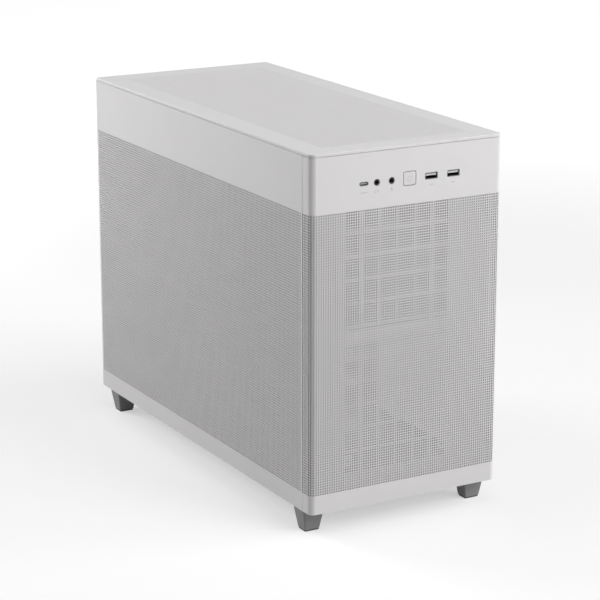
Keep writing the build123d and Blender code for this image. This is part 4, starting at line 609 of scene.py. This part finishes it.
def circuit_board(name):
    """Glass-epoxy board under dark solder resist, with faint tracks and pale pads."""
    material, place = blank(name)
    # bundles of tracks some 4 mm apart, which wander
    tracks = add_node(
        material,
        "TexWave",
        {"Vector": place, "Scale": 1 / (9 * MM), "Distortion": 6.0, "Detail": 1.0, "Detail Scale": 1.2},
        bands_direction="DIAGONAL",
    )
    sharp = add_node(
        material,
        "MapRange",
        {"Value": tracks.outputs["Fac"], "From Min": 0.45, "From Max": 0.6},
    )
    resist = add_node(
        material,
        "Mix",
        {"Factor": sharp.outputs["Result"], "A": tone("#17191b"), "B": tone("#222628")},
        data_type="RGBA",
    )
    # pale solder pads up to 0.9 mm across, at most one in each 4 mm cell
    pads = add_node(
        material,
        "TexVoronoi",
        {"Vector": place, "Scale": 1 / (4 * MM), "Randomness": 0.9},
        distance="CHEBYCHEV",
    )
    pad = add_node(material, "Math", {0: pads.outputs["Distance"], 1: 0.11}, operation="LESS_THAN")
    colour = add_node(
        material,
        "Mix",
        {"Factor": pad.outputs["Value"], "A": resist.outputs["Result"], "B": tone("#8f948f")},
        data_type="RGBA",
    )
    bump = add_node(
        material,
        "Bump",
        {"Height": sharp.outputs["Result"], "Strength": 0.4, "Distance": 0.04 * MM},
    )
    return surface(
        material,
        Base_Color=colour.outputs["Result"],
        Normal=bump.outputs["Normal"],
        Roughness=0.38,
        IOR=1.5,
    )


def printed_ink(name, colour):
    """Pad-printed ink: matt, with thin places."""
    material, place = blank(name)
    # thin places some 0.3 mm across
    thin = add_node(material, "TexNoise", {"Vector": place, "Scale": 1 / (0.3 * MM), "Detail": 1.0})
    shade = add_node(
        material,
        "Mix",
        {"Factor": thin.outputs["Fac"], "A": tone(colour), "B": tone("#bdbdbc")},
        data_type="RGBA",
    )
    return surface(material, Base_Color=shade.outputs["Result"], Roughness=0.6, IOR=1.5)


# Each finish but the circuit board's has two tones and a roughness. A plastic may add its grain's
# size and depth, a plating the size of its crystals, and a rolled metal its stretch.
FINISHES = {
    # coated sheets: satin white outside, a shade greyer and duller on the chassis
    "panel_steel": powder_coat("white_powder_coat", "#e4e2e3", "#e1dfe0", 0.42),
    "chassis_steel": powder_coat("chassis_powder_coat", "#d9d7d8", "#d5d3d4", 0.5),
    # screws, rivets, the spring and the sockets' shield: bright grey with soft patches
    "plated_steel": plated("zinc_plated_steel", "#c9ccd0", "#b4b8bd", 0.34),
    # the supply's case and the drive: near black, with a dull sheen
    "dark_steel": powder_coat("black_powder_coat", "#1f2021", "#1a1b1c", 0.5),
    # moulded parts: even white or black, with a soft highlight that the grain breaks up
    "white_plastic": moulded("white_acetal", "#dedcdd", "#d8d6d7", 0.45),
    "button_plastic": moulded("white_abs_cap", "#e0dedf", "#dddbdc", 0.42, 0.6, 0.01),
    "black_plastic": moulded("black_nylon", "#1c1d1e", "#171819", 0.5),
    "fan_plastic": moulded("glass_filled_blades", "#232527", "#1d1f21", 0.42, 1.4),
    # feet and soles: two greys, the soles quite matt
    "foot_plastic": moulded("grey_abs_feet", "#8d8c8c", "#868585", 0.55, 1.1, 0.05),
    "foot_rubber": moulded("grey_silicone_pads", "#5c5b5b", "#545353", 0.75, 0.8, 0.05),
    # leads and their plug: black and slightly waxy
    "lead_rubber": moulded("pvc_sheath", "#202122", "#191a1b", 0.55, 1.2, 0.04),
    # socket shells: mid grey metal round a pale carrier
    "port_metal": plated("nickel_plated_shell", "#85878a", "#737578", 0.32, 2.0),
    "tongue_plastic": moulded("white_contact_carrier", "#cfcdce", "#c8c6c7", 0.45),
    "circuit_board": circuit_board("black_circuit_board"),
    # fins and memory spreaders: fine lines that stretch the highlight
    "heatsink_metal": brushed("rolled_aluminium_fins", "#c4c7ca", "#b2b5b9", 0.35, (0.3, 3.0, 0.08)),
    "module_metal": brushed("anodised_spreader", "#5a5d61", "#4c4f53", 0.4, (3.0, 3.0, 0.1)),
    # stand-offs: warm yellow metal
    "brass": plated("turned_brass", "#c9a759", "#b8954a", 0.3, 1.5),
}


MARK_INK = printed_ink("grey_printed_ink", "#b9b8b7")
# painted shade: greyer walls in the punched holes, so that each hole of the fine mesh reads as a dot
FRONT_HOLE_SHADE = powder_coat("front_holes_painted_shade", "#4c4a4b", "#424041", 0.6)
# painted shade on the walls of the side holes, lighter than on the front
SIDE_HOLE_SHADE = powder_coat("side_holes_painted_shade", "#bdbbbc", "#b3b1b2", 0.6)
FRONT_SHEET = [FINISHES["panel_steel"], FRONT_HOLE_SHADE]
SIDE_SHEET = [FINISHES["panel_steel"], SIDE_HOLE_SHADE]
TOP_SHEET = [FINISHES["panel_steel"]]
# painted shade: the sheets inside are greyer than the chassis, so that the mesh in front of them looks
# open
INNER_SHEETS = ("bottom_pan", "motherboard_tray", "psu_bracket")
INNER_PAINTED_SHADE = powder_coat("inner_sheets_painted_shade", "#7b797a", "#737172", 0.5)


def dress_nodes():
    """Gives each CAD node the finish of its material slot, and the sheets inside a greyer colour of
    painted shade.
    """
    for part in frame["record"]["subparts"]:
        finish = INNER_PAINTED_SHADE if part["node"] in INNER_SHEETS else FINISHES[part["material_slot"]]
        mesh = NODES[part["node"]].data
        mesh.materials.clear()
        mesh.materials.append(finish)


# ---------------------------------------------------------------- stage
FLOOR_SIZE = 14.0
FLOOR_LIFT = (0.5, 0.9)  # near the object and far from it
FLOOR_FADE = (0.7, 2.2)  # distances between which the lift grows
ROOM_LIGHT = 0.1
WALL_WHITE = 1.0
LAMP_TARGET = Vector((0.0, 0.0, 0.2))
# place, side length in metres and power in watts
SOFTBOXES = {
    "front_softbox": ((0.9, -2.0, 1.2), 1.2, 27.0),
    "right_softbox": ((1.9, -1.1, 1.3), 1.2, 19.0),
    "rear_softbox": ((-1.0, 1.65, 0.85), 1.0, 24.0),
    "left_softbox": ((-1.7, 0.5, 1.3), 1.0, 6.2),
    "top_softbox": ((0.0, -0.7, 2.0), 1.0, 5.0),
}
CAMERA_PLACE = (-1.064, -1.918, 0.772)
CAMERA_DOWN = math.radians(15.56)
CAMERA_TURN = math.radians(-29.38)
FOCAL_LENGTH = 134.2  # millimetres, behind a 36 mm frame


def camera_share(material_or_world):
    """One where the eye, a mirror or a pane looks straight at the surface, and nought for its light."""
    path = add_node(material_or_world, "LightPath")
    seen = add_node(
        material_or_world,
        "Math",
        {0: path.outputs["Is Camera Ray"], 1: path.outputs["Is Glossy Ray"]},
        operation="ADD",
    )
    return add_node(
        material_or_world,
        "Math",
        {0: seen.outputs["Value"], 1: path.outputs["Is Transmission Ray"]},
        operation="ADD",
        use_clamp=True,
    ).outputs["Value"]


def make_floor():
    """Pale floor that keeps the shadow and otherwise reads as white."""
    shell = bmesh.new()
    bmesh.ops.create_grid(shell, x_segments=1, y_segments=1, size=FLOOR_SIZE / 2)
    floor = into_object(shell, "floor")
    material, place = blank("floor_paper")
    paper = add_node(material, "BsdfDiffuse", {"Color": tone("#c8c8c8")})
    away = add_node(material, "VectorMath", {0: place}, operation="LENGTH")
    rise = add_node(
        material,
        "MapRange",
        {
            "Value": away.outputs["Value"],
            "From Min": FLOOR_FADE[0],
            "From Max": FLOOR_FADE[1],
            "To Min": FLOOR_LIFT[0],
            "To Max": FLOOR_LIFT[1],
        },
        interpolation_type="SMOOTHSTEP",
    )
    lift = add_node(
        material, "Math", {0: camera_share(material), 1: rise.outputs["Result"]}, operation="MULTIPLY"
    )
    glow = add_node(material, "Emission", {"Color": tone("#ffffff"), "Strength": lift.outputs["Value"]})
    both = add_node(material, "AddShader", {0: paper.outputs["BSDF"], 1: glow.outputs["Emission"]})
    add_node(material, "OutputMaterial", {"Surface": both.outputs["Shader"]})
    floor.data.materials.append(material)


def make_room():
    """White room: full white to the eye, a softer even light on the object."""
    world = bpy.data.worlds.new("room")
    world.use_nodes = True
    world.node_tree.nodes.clear()
    strength = add_node(
        world,
        "MapRange",
        {"Value": camera_share(world), "To Min": ROOM_LIGHT, "To Max": WALL_WHITE},
    )
    back = add_node(
        world, "Background", {"Color": tone("#ffffff"), "Strength": strength.outputs["Result"]}
    )
    add_node(world, "OutputWorld", {"Surface": back.outputs["Background"]})
    bpy.context.scene.world = world


def add_softbox(name, place, size, power):
    """Square area lamp aimed at the object."""
    lamp = bpy.data.lights.new(name, "AREA")
    lamp.size = size
    lamp.energy = power
    holder = bpy.data.objects.new(name, lamp)
    aim = LAMP_TARGET - Vector(place)
    holder.matrix_world = Matrix.Translation(place) @ aim.to_track_quat("-Z", "Y").to_matrix().to_4x4()
    bpy.context.scene.collection.objects.link(holder)


def make_camera():
    """Camera in front of the left corner, looking slightly down."""
    lens = bpy.data.cameras.new("camera")
    lens.lens = FOCAL_LENGTH
    lens.sensor_width = 36.0
    lens.clip_end = 60.0
    camera = bpy.data.objects.new("camera", lens)
    camera.location = CAMERA_PLACE
    camera.rotation_euler = (math.pi / 2 - CAMERA_DOWN, 0.0, CAMERA_TURN)
    bpy.context.scene.collection.objects.link(camera)
    bpy.context.scene.camera = camera


# ---------------------------------------------------------------- assembly
dress_nodes()
make_side_panel("left", -1, SIDE_SHEET)
make_side_panel("right", 1, SIDE_SHEET)
make_top_cover(TOP_SHEET)
make_front_panel(FRONT_SHEET)
make_button(FINISHES["button_plastic"], MARK_INK)
make_button_spring(FINISHES["plated_steel"])
make_socket_marks(MARK_INK)

make_floor()
make_room()
for lamp_name, setting in SOFTBOXES.items():
    add_softbox(lamp_name, *setting)
make_camera()

bpy.context.scene.view_settings.view_transform = "Standard"
